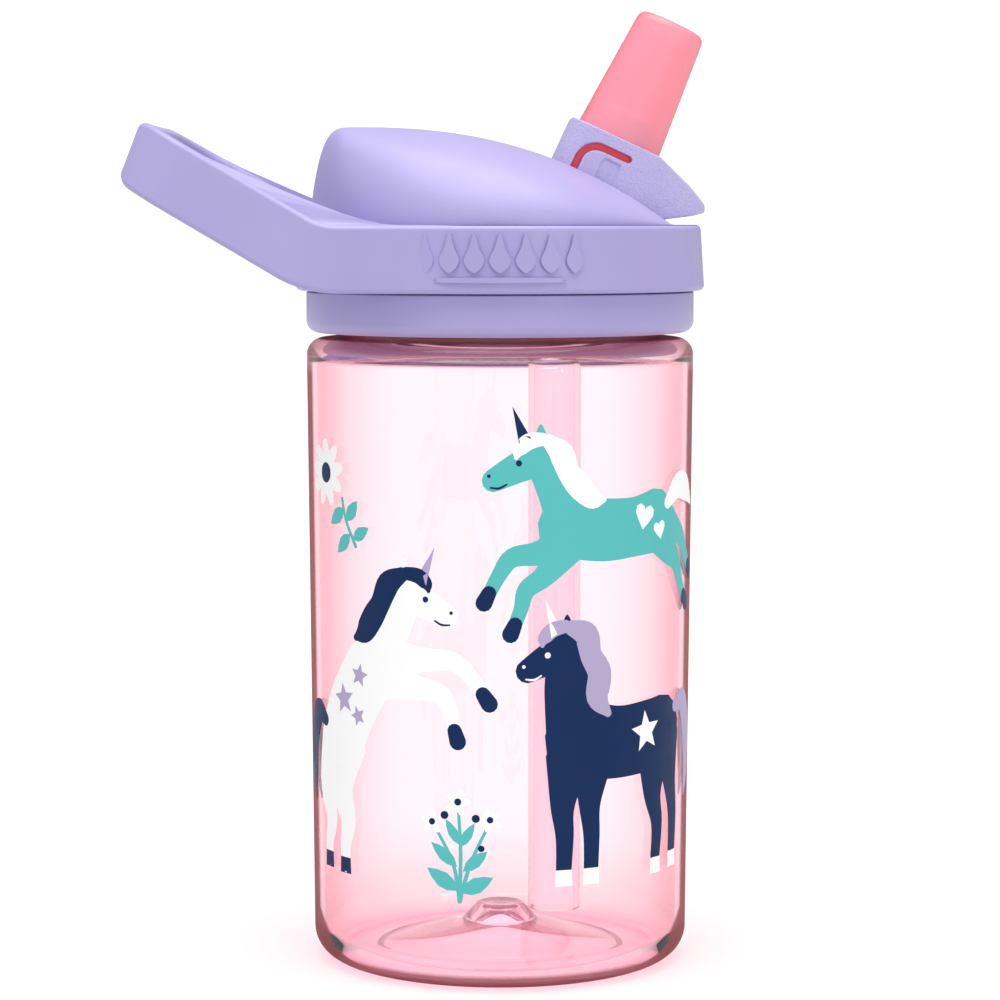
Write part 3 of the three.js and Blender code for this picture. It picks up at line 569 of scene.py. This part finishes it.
def handle():
    """Band and loop, with round edges."""
    curve = bpy.data.curves.new("handle", "CURVE")
    curve.dimensions = "2D"
    curve.fill_mode = "BOTH"
    curve.extrude = ((BAND_TOP - BAND_BOTTOM) / 2 - BAND_EDGE) * MM
    curve.bevel_depth = BAND_EDGE * MM
    curve.bevel_resolution = 5
    curve.offset = -BAND_EDGE * MM
    for line in handle_lines():
        spline = curve.splines.new("POLY")
        spline.points.add(len(line) - 1)
        spline.use_cyclic_u = True
        for point, (x, y) in zip(spline.points, line):
            point.co = (x * MM, y * MM, 0, 1)
    flat = bpy.data.objects.new("handle", curve)
    bpy.context.scene.collection.objects.link(flat)
    obj = bake(flat)
    bm = bmesh.new()
    bm.from_mesh(obj.data)
    bmesh.ops.remove_doubles(bm, verts=bm.verts, dist=0.00001)
    for vert in bm.verts:
        vert.co = Vector(bent(*(vert.co / MM))) * MM
    bmesh.ops.recalc_face_normals(bm, faces=bm.faces)
    bm.to_mesh(obj.data)
    bm.free()
    return obj


carry = dress(handle(), "carry_loop", "lid", LILAC, ["carry_handle"], sharp=50)
carry.modifiers.new("weighted", "WEIGHTED_NORMAL").keep_sharp = True

DOME_RADIUS, DOME_HEIGHT, DOME_CREST_X = 36.1, 18.1, -27.0
DOME_BEHIND, DOME_AHEAD = 9.0, 59.0  # how far the ridge runs from its crest to either foot
DOME_WALL = 2
SKIRT_BOTTOM = 132.4
GAP = 0.3  # between the spout and what it turns in

# the spout is drawn about the mouthpiece's upright axis, and TILT leans it and puts its drum at the pivot
PIVOT_X, PIVOT_Z = 12.4, 143.5
DRUM_X, DRUM_Z, DRUM_RADIUS = -3.9, -3.47, 6.1
SPOUT_BACK, SPOUT_HALF, SPOUT_RIM = -10, 10, 11.9  # back wall, half width, height of the flat rim
VALVE_RADIUS, VALVE_TOP = 8.3, 35.8
TILT = (
    Matrix.Translation((PIVOT_X * MM, 0, PIVOT_Z * MM))
    @ Matrix.Rotation(math.radians(25), 4, "Y")
    @ Matrix.Translation((-DRUM_X * MM, 0, -DRUM_Z * MM))
)

CHANNEL_HALF = SPOUT_HALF + GAP
SEAL_TOP = PIVOT_Z - DRUM_RADIUS - GAP
PORT_X = 13.2


def ridge(x):
    """Height of the dome's ridge above the band."""
    behind, ahead = (DOME_CREST_X - x) / DOME_BEHIND, (x - DOME_CREST_X) / DOME_AHEAD
    return DOME_HEIGHT * max(0.0, 1 - (behind ** 4 if behind > 0 else ahead ** 2.4))


def dome_solid(radius, lower, bottom, segments=192, rings=56):
    """A dome on a round skirt: level across the spout's channel, then falling in a full curve."""
    base = BAND_TOP - lower
    points = [(0, bottom), (radius, bottom), (radius, base)]
    points += [(radius * math.cos(math.pi / 2 * i / rings), base + 1) for i in range(1, rings)]
    obj = lathe([*points, (0, base + 1)], segments)
    for vert in obj.data.vertices:
        x, y, z = vert.co / MM
        if z > base + 0.5:
            half = math.sqrt(max(radius ** 2 - x ** 2, 1e-9))
            level = min(CHANNEL_HALF, half / 2)
            across = min(1.0, max(0.0, (abs(y) - level) / (half - level)))
            fall = (1 - across ** 2.1) ** 0.55
            vert.co.z = (base + ridge(x * DOME_RADIUS / radius) * fall) * MM
    return obj


def channel_outline():
    """The space that the folded spout fills, seen from the side."""
    sky = 190
    reach = math.hypot(DRUM_X - SPOUT_BACK, SPOUT_RIM - DRUM_Z) + 0.7
    back = PIVOT_X - (VALVE_TOP - DRUM_Z) - 1
    floor = PIVOT_Z - DRUM_X - VALVE_RADIUS - 0.5
    drum = SEAL_TOP - GAP
    mouth = BAND_TOP - 0.2
    return [
        (back, sky), (back, floor + 3.4), (back + 1.8, floor + 1.6), (PIVOT_X - reach - 0.3, floor),
        (PIVOT_X - reach, drum), (PIVOT_X + 3.5, drum), (31.5, mouth), (DOME_RADIUS + 1, mouth),
        (DOME_RADIUS + 1, sky),
    ]


dome = dome_solid(DOME_RADIUS, 0, SKIRT_BOTTOM)
hollow = dome_solid(DOME_RADIUS - DOME_WALL, DOME_WALL, SKIRT_BOTTOM - 3)
combine(hollow, prism([(-33, 135.2), (33, 135.2), (33, 180), (-33, 180)], 13.3))  # keeps cheeks and floor
combine(dome, hollow)
combine(dome, prism(channel_outline(), CHANNEL_HALF))
combine(dome, pin(2.9, 12.8, PIVOT_X, PIVOT_Z))  # the trunnions' bearings
combine(dome, post(5.7, 134, SEAL_TOP + 1, PORT_X))  # the opening over the straw's port
soften(dome, 0.36, 5)
dress(dome, "spout_dome", "lid", LILAC, ["lid_dome"], sharp=180)

# ------------------------------------------------------------------ spout, about the mouthpiece's axis


def spout_side():
    """Side view of the spout: drum, straight back, flat rim and thumb lever."""
    drum = arc(DRUM_X, DRUM_Z, DRUM_RADIUS, 180, 305.5, 24)
    rest = filleted([
        (*drum[-1], 0), (14.3, 2, 3), (18.6, 4.7, 1.6), (20.4, 6.2, 0.6), (19.7, 7.4, 0.6), (15.6, 9.4, 4),
        (8.3, SPOUT_RIM, 2), (SPOUT_BACK, SPOUT_RIM, 0.8), (SPOUT_BACK, DRUM_Z, 0),
    ], closed=False)
    return drum + rest[1:-1]


def spout_plan():
    """Plan of the spout: square back with round corners, narrowing to the lever's round tip."""
    tip = 20.6
    upper = filleted([
        (tip, 0, 0), (tip, 7.2, 5), (7.6, SPOUT_HALF, 4), (SPOUT_BACK, SPOUT_HALF, 5), (SPOUT_BACK, 0, 0),
    ], closed=False, steps=10)
    return upper + [(x, -y) for x, y in upper[-2:0:-1]]


SLOT_X, SLOT_Z, SLOT_RADIUS, SLOT_TIP_X = -2.1, 5.4, 3.5, 3


def slot_outline(half, low_end=-1.0):
    """The slot that frees the springy tongue in each side of the spout."""
    outer = arc(SLOT_X, SLOT_Z, SLOT_RADIUS + half, 180, 90, 10)
    tip = arc(SLOT_TIP_X, SLOT_Z + SLOT_RADIUS, half, 90, -90, 6)
    inner = arc(SLOT_X, SLOT_Z, SLOT_RADIUS - half, 90, 180, 10)
    middle = SLOT_X - SLOT_RADIUS
    return [(middle - half, low_end), *outer, *tip, *inner, (middle + half, low_end)]


TONGUE_RECESS = filleted([(-1.4, 0.2, 0.6), (2.4, 0.2, 0.6), (2.4, 7.4, 0.6), (-1.4, 7.4, 0.6)])

spout = prism(spout_side(), SPOUT_HALF)
combine(spout, plate(spout_plan(), -20, 20), "INTERSECT")
combine(spout, pin(2.6, 12.5, DRUM_X, DRUM_Z), "UNION")  # trunnions
combine(spout, post(8.6, 2, 13))  # the well that holds the valve's foot
combine(spout, post(5, 1, 16.5), "UNION")  # nozzle
combine(spout, post(2.3, -12, 18))  # the nozzle's bore
for side in (-1, 1):
    combine(spout, prism(slot_outline(0.7), 2.75, side * 8.25))
    combine(spout, prism(TONGUE_RECESS, 0.6, side * 10.25))
soften(spout, 0.2, 4)
dress(spout, "flip_up_spout", "spout", LILAC_ERODED_HIGHLIT, ["flip_spout"], TILT, sharp=180)

for side, name in ((-1, "near"), (1, "far")):
    skirt = prism(slot_outline(0.65, -0.8), 0.7, side * 8.3)
    dress(skirt, f"valve_skirt_{name}", "spout", CORAL_DEEP, tilt=TILT)

valve = lathe(filleted([
    (0, 33.6, 0), (4.1, 33.6, 0.8), (4.8, 17.5, 0.4), (5.3, 16.5, 0.3), (5.3, 2.3, 0.3),
    (VALVE_RADIUS, 2.3, 0.5), (VALVE_RADIUS, SPOUT_RIM, 1.5), (6.55, VALVE_TOP, 1.6), (0, VALVE_TOP, 0),
], closed=False, steps=8), 96)
combine(valve, prism([(-0.15, 32), (0.15, 32), (0.15, 37), (-0.15, 37)], 3.5))
dress(valve, "soft_bite_valve", "spout", CORAL, ["bite_valve"], TILT)

# the pieces that the lid hides keep their CAD meshes
for name, material in (("inner_cap", LILAC_HIDDEN), ("spout_seal", MILKY), ("vent_valve", MILKY)):
    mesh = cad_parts[name].data
    mesh.materials.clear()
    mesh.materials.append(material)
    mesh.shade_smooth()
    mesh.set_sharp_from_angle(angle=math.radians(30))

# ------------------------------------------------------------------ prints on the wall


def smooth_line(points, closed=False, steps=5):
    """A Catmull-Rom line through points of any size."""
    count = len(points)
    spans = range(count if closed else count - 1)
    line = []
    for i in spans:
        if closed:
            four = [Vector(points[(i + k) % count]) for k in (-1, 0, 1, 2)]
        else:
            four = [Vector(points[min(max(i + k, 0), count - 1)]) for k in (-1, 0, 1, 2)]
        a, b, c, d = four
        for step in range(steps):
            t = step / steps
            line.append(0.5 * (2 * b + (c - a) * t + (2 * a - 5 * b + 4 * c - d) * t ** 2
                               + (3 * b - a - 3 * c + d) * t ** 3))
    if not closed:
        line.append(Vector(points[-1]))
    return line


def blob(*points):
    """A closed smooth shape."""
    return [tuple(p) for p in smooth_line(points, closed=True)]


def limb(*points):
    """A tapered stroke with round ends, through (u, z, width) points."""
    line = smooth_line(points)
    left, right = [], []
    for i, point in enumerate(line):
        ahead = (line[min(i + 1, len(line) - 1)] - line[max(i - 1, 0)]).xy.normalized()
        normal = Vector((-ahead.y, ahead.x)) * point.z / 2
        left.append(point.xy + normal)
        right.append(point.xy - normal)
    start = (line[0] - line[1]).xy.normalized() * line[0].z / 2
    end = (line[-1] - line[-2]).xy.normalized() * line[-1].z / 2
    caps = []
    for centre, reach in ((line[-1].xy, end), (line[0].xy, start)):
        across = Vector((-reach.y, reach.x))
        turns = [math.pi * k / 6 for k in range(1, 6)]
        caps.append([centre + across * math.cos(t) + reach * math.sin(t) for t in turns])
    return [tuple(p) for p in (*left, *caps[0], *reversed(right), *caps[1])]


def disc(u, z, radius):
    """A round spot."""
    return circle(u, z, radius, 24)


def star(u, z, radius, turn):
    """A five-pointed star, turned by an angle in degrees."""
    reach = [radius if k % 2 == 0 else radius * 0.45 for k in range(10)]
    turns = [math.radians(90 + turn + 36 * k) for k in range(10)]
    return [(u + r * math.cos(t), z + r * math.sin(t)) for r, t in zip(reach, turns)]


def heart(u, z, size, lean):
    """A heart, leaning by an angle in degrees."""
    half = [(0, -1), (0.55, -0.4), (0.98, 0.15), (0.95, 0.62), (0.55, 0.86), (0.15, 0.7)]
    shape = half + [(0, 0.45)] + [(-x, y) for x, y in half[:0:-1]]
    cos, sin = math.cos(math.radians(lean)), math.sin(math.radians(lean))
    return [(u + size * (x * cos - y * sin), z + size * (x * sin + y * cos)) for x, y in shape]


def hoof(u, z, width):
    """A flat-ended hoof at the foot of an upright leg."""
    top, foot = width / 2, width / 2 + 0.15
    return [(u - top, z + 1.6), (u + top, z + 1.6), (u + foot, z - 1.4), (u - foot, z - 1.4)]


def petals(u, z, inner, outer, width, count, turn):
    """Petals round a flower's middle."""
    stroke = ((inner, width * 0.5), ((inner + outer) / 2, width), (outer - width * 0.4, width * 0.75))
    found = []
    for k in range(count):
        angle = math.radians(turn + 360 * k / count)
        cos, sin = math.cos(angle), math.sin(angle)
        found.append(limb(*[(u + reach * cos, z + reach * sin, wide) for reach, wide in stroke]))
    return found


def leaf(u, z, tip_u, tip_z, width):
    """A pointed leaf from its foot to its tip."""
    foot, tip = Vector((u, z)), Vector((tip_u, tip_z))
    along = tip - foot
    across = Vector((-along.y, along.x)).normalized() * width / 2
    stations = [(0.25, 0.8), (0.5, 1.0), (0.78, 0.6)]  # share of the length, share of the half width
    side = [foot.lerp(tip, share) + across * wide for share, wide in stations]
    other = [foot.lerp(tip, share) - across * wide for share, wide in reversed(stations)]
    return [tuple(p) for p in (foot, *side, tip, *other)]


# Ink, layer and shapes of each print. A higher layer lies on a lower one; u runs round from the front.
PRINTS = [
    # leaping pony with a horn
    ("teal", 1, [
        limb((12.5, 85.5, 11.5), (20, 84.6, 11.5), (27, 84.8, 11), (33, 85.6, 12)),
        limb((13.5, 87.5, 11), (10.6, 92.6, 8.2), (8, 97.2, 6.6)),
        limb((7.6, 98.2, 6.8), (3.4, 96.4, 5.6), (-1.2, 94, 4.2)),
        blob((6, 100), (7.4, 104.2), (9, 99.6)),
        limb((12.5, 82.5, 8), (7, 80.8, 4.6), (2.2, 80, 3.6), (-0.2, 76.8, 2.8), (-2, 73.4, 2.5)),
        limb((12, 81.5, 7), (8.2, 76.8, 4.2), (4.8, 74.2, 3.4), (3.8, 70.8, 2.7), (2.6, 67.6, 2.5)),
        limb((33.5, 84.5, 10.5), (37.2, 80.2, 6.4), (40.6, 77.4, 4), (42.8, 73.4, 2.9), (45.2, 70.4, 2.5)),
        limb((34, 86, 10), (39.6, 83.6, 5.8), (43, 81.8, 3.8), (46, 78.2, 2.8), (48.6, 75.8, 2.5)),
    ]),
    ("white", 2, [
        limb((8.8, 101, 2.6), (11.2, 98.8, 4.6), (12.6, 95.4, 4.2), (14.6, 92.8, 4.6), (17.4, 90.4, 3.8),
             (19.6, 90.2, 1.4)),
        limb((7.6, 101.4, 2.4), (5.2, 101, 3), (3.4, 99.4, 2.4), (2.9, 98.1, 0.8)),
        limb((37, 88.6, 2.4), (41.2, 91.4, 4.8), (45.6, 90.8, 5.2), (50.4, 87.6, 1)),
        heart(29.6, 86.6, 2.5, -12),
        heart(34.2, 83.8, 1.8, 10),
    ]),
    ("navy", 2, [
        [(3.4, 100.6), (5.6, 101.6), (2.2, 107.4)],
        disc(3.4, 97.1, 0.55), disc(-2, 94.8, 0.32),
        limb((-1.7, 92.7, 0.3), (-0.2, 92.6, 0.4), (1.2, 93.3, 0.3)),
        limb((-2, 73.6, 2.7), (-2.9, 71.8, 3.1)), limb((2.7, 67.9, 2.7), (1.9, 66.1, 3.1)),
        limb((45.1, 70.5, 2.7), (46.6, 69, 3.1)), limb((48.5, 75.9, 2.7), (50.2, 74.7, 3.1)),
    ]),
    # rearing pony with a horn
    ("white", 1, [
        limb((-34.5, 45.5, 14), (-31.5, 51, 13.4), (-27, 57.4, 12.6), (-23.5, 61.6, 11.4)),
        limb((-24, 62.5, 11), (-20.4, 68.4, 8.4), (-18, 72.6, 6.8)),
        limb((-18, 73.4, 6.8), (-13.8, 71.4, 5.6), (-9.6, 69.2, 4.2)),
        blob((-19.4, 75.4), (-18.2, 79.8), (-16.6, 75.4)),
        limb((-22, 61, 8), (-14.4, 61.2, 4.6), (-8.4, 61, 3.5), (-5, 58, 2.8), (-3, 55, 2.5)),
        limb((-23, 57, 8), (-15.6, 56, 4.8), (-10.8, 55, 3.5), (-9, 51.4, 2.8), (-8.2, 48.2, 2.5)),
        limb((-33.6, 44, 13), (-34.4, 36, 7.4), (-32.4, 29.6, 4.6), (-33.2, 25, 3.3), (-33.2, 21.2, 3)),
        limb((-36.6, 44, 11.5), (-40.2, 36, 6.8), (-38.2, 29.6, 4.4), (-39.2, 25, 3.3), (-39.2, 21.6, 3)),
    ]),
    ("navy", 2, [
        limb((-18.8, 76.4, 3), (-21.6, 74.6, 4.8), (-23.4, 71, 4.4), (-25.2, 68.4, 5), (-27.4, 65.4, 4.4),
             (-29.6, 64.2, 1.4)),
        limb((-17.6, 76.8, 2.4), (-15.2, 76.4, 2.8), (-13.6, 75, 2.4), (-13.2, 73.8, 0.8)),
        limb((-40.6, 47.6, 2.6), (-44.4, 48.8, 4.8), (-47.6, 44, 5.8), (-48.2, 37.4, 4.4), (-46.6, 32, 1)),
        disc(-13.8, 72.2, 0.55), disc(-8.9, 69.9, 0.32),
        limb((-9.2, 67.7, 0.3), (-10.7, 67.7, 0.4), (-12, 68.4, 0.3)),
        limb((-3.1, 55.2, 2.7), (-1.9, 53.4, 3.1)), limb((-8.3, 48.4, 2.7), (-7.7, 46.4, 3.1)),
        hoof(-33.2, 21, 3.1), hoof(-39.2, 21.3, 3.1),
    ]),
    ("lavender", 2, [
        [(-15.8, 75.8), (-13.6, 74.8), (-12, 81.8)],
        star(-33.4, 52.4, 3, 8), star(-28.8, 57.2, 2.3, -10), star(-29.2, 49.6, 2, 20),
    ]),
    # standing pony with a horn
    ("navy", 1, [
        limb((15.4, 46.4, 14.6), (23, 45.4, 13.4), (31, 45.8, 13.4), (35.6, 46.4, 13.2)),
        limb((14.4, 49.5, 12.5), (12.6, 56, 9.2), (12, 61.4, 7)),
        limb((12.2, 63, 7), (8.6, 61.4, 5.8), (5, 59.4, 4.4)),
        blob((11, 65.2), (12.4, 69.6), (14, 65)),
        limb((12.8, 43, 9), (11.6, 34.6, 4.8), (12, 28.6, 3.5), (11.8, 22, 3)),
        limb((17.6, 42, 8.5), (17, 34.6, 4.6), (17.4, 28.6, 3.4), (17.3, 22, 3)),
        limb((33.4, 43.6, 11.5), (32.6, 35, 5.6), (34, 29, 3.6), (33.4, 22, 3)),
        limb((37.4, 44.6, 10), (38.8, 36.4, 5.2), (40, 30, 3.6), (39.7, 22.4, 3)),
    ]),
    ("white", 2, [
        [(9.4, 65.2), (11.6, 66.2), (8.2, 72.4)],
        star(30.4, 46.6, 4, 6),
        disc(8.7, 62.2, 0.55), disc(4.3, 60.2, 0.32),
        limb((4.7, 57.9, 0.3), (6.2, 57.8, 0.4), (7.5, 58.5, 0.3)),
        hoof(11.8, 21, 3.1), hoof(17.3, 21, 3.1), hoof(33.4, 21, 3.1), hoof(39.7, 21.3, 3.1),
    ]),
    ("lavender", 2, [
        limb((13.4, 67, 3), (16.2, 65.6, 4.8), (17.2, 61.8, 4.4), (19, 58.4, 5), (18.6, 54, 4.6),
             (20.8, 51, 1.6)),
        limb((12, 67.4, 2.4), (9.6, 66.8, 2.8), (8, 65.2, 2.4), (7.7, 64, 0.8)),
        limb((41, 50.2, 2.6), (45, 50.6, 4.8), (47.8, 45.6, 5.6), (48.4, 38.4, 4.4), (46.8, 32.6, 1)),
    ]),
    # daisy and leaves
    ("white", 1, petals(-39.5, 94, 1.2, 6.4, 2.6, 9, 12)),
    ("navy", 2, [disc(-39.5, 94, 1.9)]),
    ("teal", 1, [
        limb((-33.6, 89.6, 0.7), (-32.4, 85.6, 0.7), (-29.6, 81, 0.8)),
        leaf(-33, 87.8, -37.6, 84.6, 3), leaf(-32.2, 85.4, -29.2, 89.4, 2.8),
        leaf(-31.2, 83.2, -35.2, 79.4, 2.8), leaf(-30.4, 82.2, -26.2, 84.6, 2.6),
    ]),
    # bunch of meadow flowers
    ("teal", 1, [
        limb((-7.4, 17, 0.8), (-8.6, 24, 0.7), (-12, 30.6, 0.6)),
        limb((-7.4, 17, 0.8), (-7.2, 26, 0.7), (-7.6, 34, 0.6)),
        limb((-7.4, 17, 0.8), (-5.4, 24, 0.7), (-2.2, 31, 0.6)),
        leaf(-7.6, 19, -13.6, 23, 3), leaf(-7.8, 23.4, -12.8, 27.8, 2.4), leaf(-7.2, 18.6, -1.2, 21.6, 3),
        leaf(-6.8, 22.6, -2.2, 26.4, 2.4), leaf(-7.3, 27.4, -10, 32.2, 1.9),
        leaf(-7.3, 27, -4.6, 31.6, 1.9),
    ]),
    ("white", 2, [
        *petals(-12.6, 31.6, 0.3, 2.4, 1.3, 5, 18), *petals(-7.7, 35.4, 0.3, 2.6, 1.4, 5, 0),
        *petals(-1.8, 32.2, 0.3, 2.4, 1.3, 5, 40),
    ]),
    ("navy", 3, [
        disc(-12.6, 31.6, 0.6), disc(-7.7, 35.4, 0.65), disc(-1.8, 32.2, 0.6),
        disc(-10.2, 32.9, 0.75), disc(-4.4, 32.4, 0.75), disc(-3.4, 26.9, 0.6),
    ]),
]

PRINT_STEP = 0.03  # thickness of a layer of ink


def grid_points(points, pitch):
    """A staggered grid over the points' own box, so that a wrapped sheet follows the wall."""
    across = [p.x / pitch for p in points]
    up = [p.y / pitch for p in points]
    return [Vector(((column + 0.5 * (row % 2)) * pitch, row * pitch))
            for row in range(int(min(up)), int(max(up)) + 1)
            for column in range(int(min(across)), int(max(across)) + 1)]


def wrapped(shapes, radius_at, rise, thickness, pitch=1.5):
    """Overlapping flat shapes joined into one sheet, wrapped round the axis and given a thickness."""
    points, loops = [], []
    for shape in shapes:
        loops.append(list(range(len(points), len(points) + len(shape))))
        points += [Vector(p) for p in shape]
    points += grid_points(points, pitch)
    inside = 1  # keeps only the faces that lie inside an outline
    flat, _, faces, _, _, _ = delaunay_2d_cdt(points, [], loops, inside, 1e-5)
    used = sorted({i for face in faces for i in face})
    index = {old: new for new, old in enumerate(used)}
    verts = []
    for i in used:
        u, z = flat[i]
        radius = radius_at(z) + rise
        angle = u / radius_at(z)
        verts.append((radius * math.sin(angle), -radius * math.cos(angle), z))
    mesh = bpy.data.meshes.new("print")
    mesh.from_pydata([Vector(v) * MM for v in verts], [], [[index[i] for i in face] for face in faces])
    obj = bpy.data.objects.new("print", mesh)
    bpy.context.scene.collection.objects.link(obj)
    solid = obj.modifiers.new("solid", "SOLIDIFY")
    solid.thickness = thickness * MM
    solid.offset = 1
    return bake(obj)


def joined(objects):
    """Several meshes as one object."""
    bm = bmesh.new()
    for obj in objects:
        bm.from_mesh(obj.data)
    bm.to_mesh(objects[0].data)
    bm.free()
    for obj in objects[1:]:
        bpy.data.objects.remove(obj)
    return objects[0]


for colour, material in INKS.items():
    sheets = [wrapped(shapes, wall_radius, PRINT_STEP * layer, PRINT_STEP)
              for name, layer, shapes in PRINTS if name == colour]
    dress(joined(sheets), f"print_{colour}", "bottle", material, sharp=40)


def drop(u, half):
    """A drop of a given half width, 7 mm tall."""
    return blob((u - half, 133.2), (u, 131.2), (u + half, 133.2),
                (u + half * 0.5, 135.6), (u, 138.2), (u - half * 0.5, 135.6))


# raised emblem on the band: a row of drops over a bar
drops = [drop(u, half) for u, half in
         ((-13.6, 1.6), (-9.1, 1.8), (-4.6, 1.8), (0, 1.9), (4.6, 1.8), (9.1, 1.8), (13.6, 1.6))]
bar = blob((-11, 130.3), (0, 130.4), (11, 130.3), (11.3, 129.9),
           (11, 129.5), (0, 129.4), (-11, 129.5), (-11.3, 129.9))
emblem = wrapped([*drops, bar], lambda z: BAND_RADIUS, rise=-0.1, thickness=0.5, pitch=1.0)
dress(emblem, "raised_drops", "lid", LILAC, sharp=60)

# ------------------------------------------------------------------ light and floor

scene = bpy.context.scene
scene.view_settings.view_transform = "Standard"
scene.cycles.max_bounces = 24
scene.cycles.transmission_bounces = 24

AMBIENT = 0.47  # what lights the bottle
BACKDROP = 1.12  # what is seen past it and through it
FLOOR_GLOW = 0.25  # what the floor adds where it is seen directly or through the bottle


def by_ray(tree, other, seen):
    """One value for what is seen directly or through the bottle, and another for all other light."""
    ray = node(tree, "ShaderNodeLightPath").outputs
    is_seen = math_node(tree, "MAXIMUM", ray["Is Camera Ray"], ray["Is Transmission Ray"])
    return spread(tree, is_seen, other, seen, 0, 1)


world = bpy.data.worlds.new("studio")
world.use_nodes = True
scene.world = world
tree = world.node_tree
tree.links.new(by_ray(tree, AMBIENT, BACKDROP), tree.nodes["Background"].inputs["Strength"])
tree.nodes["Background"].inputs["Color"].default_value = (1, 1, 1, 1)


def lamp(name, right, front, width, strength):
    """A distant soft light, its width and its angles from straight above in degrees."""
    light = bpy.data.lights.new(name, "SUN")
    light.angle = math.radians(width)
    light.energy = strength
    obj = bpy.data.objects.new(name, light)
    source = Vector((math.tan(math.radians(right)), -math.tan(math.radians(front)), 1))
    obj.rotation_euler = source.to_track_quat("Z", "Y").to_euler()
    scene.collection.objects.link(obj)


lamp("overhead", -2, 8, 60, 3.0)
lamp("side", 61.6, 72.8, 12, 0.4)

FLOOR_REACH = 3000
corners = [(x * FLOOR_REACH, y * FLOOR_REACH, 0) for x, y in ((-1, -1), (1, -1), (1, 1), (-1, 1))]
floor = raw(corners, [(0, 1, 2, 3)], "floor")
floor_material, floor_tree, floor_shader = principled("pale_floor", {
    "Base Color": (0.66, 0.66, 0.66, 1), "Roughness": 0.8, "Specular IOR Level": 0.0,
    "Emission Color": (1, 1, 1, 1),
})
bumped(floor_tree, floor_shader, noise(floor_tree, 30), 0.02, 0.5)
floor_tree.links.new(by_ray(floor_tree, 0, FLOOR_GLOW), floor_shader.inputs["Emission Strength"])
floor.data.materials.append(floor_material)
floor.location.z = -0.05 * MM  # just clear of the bottle's foot
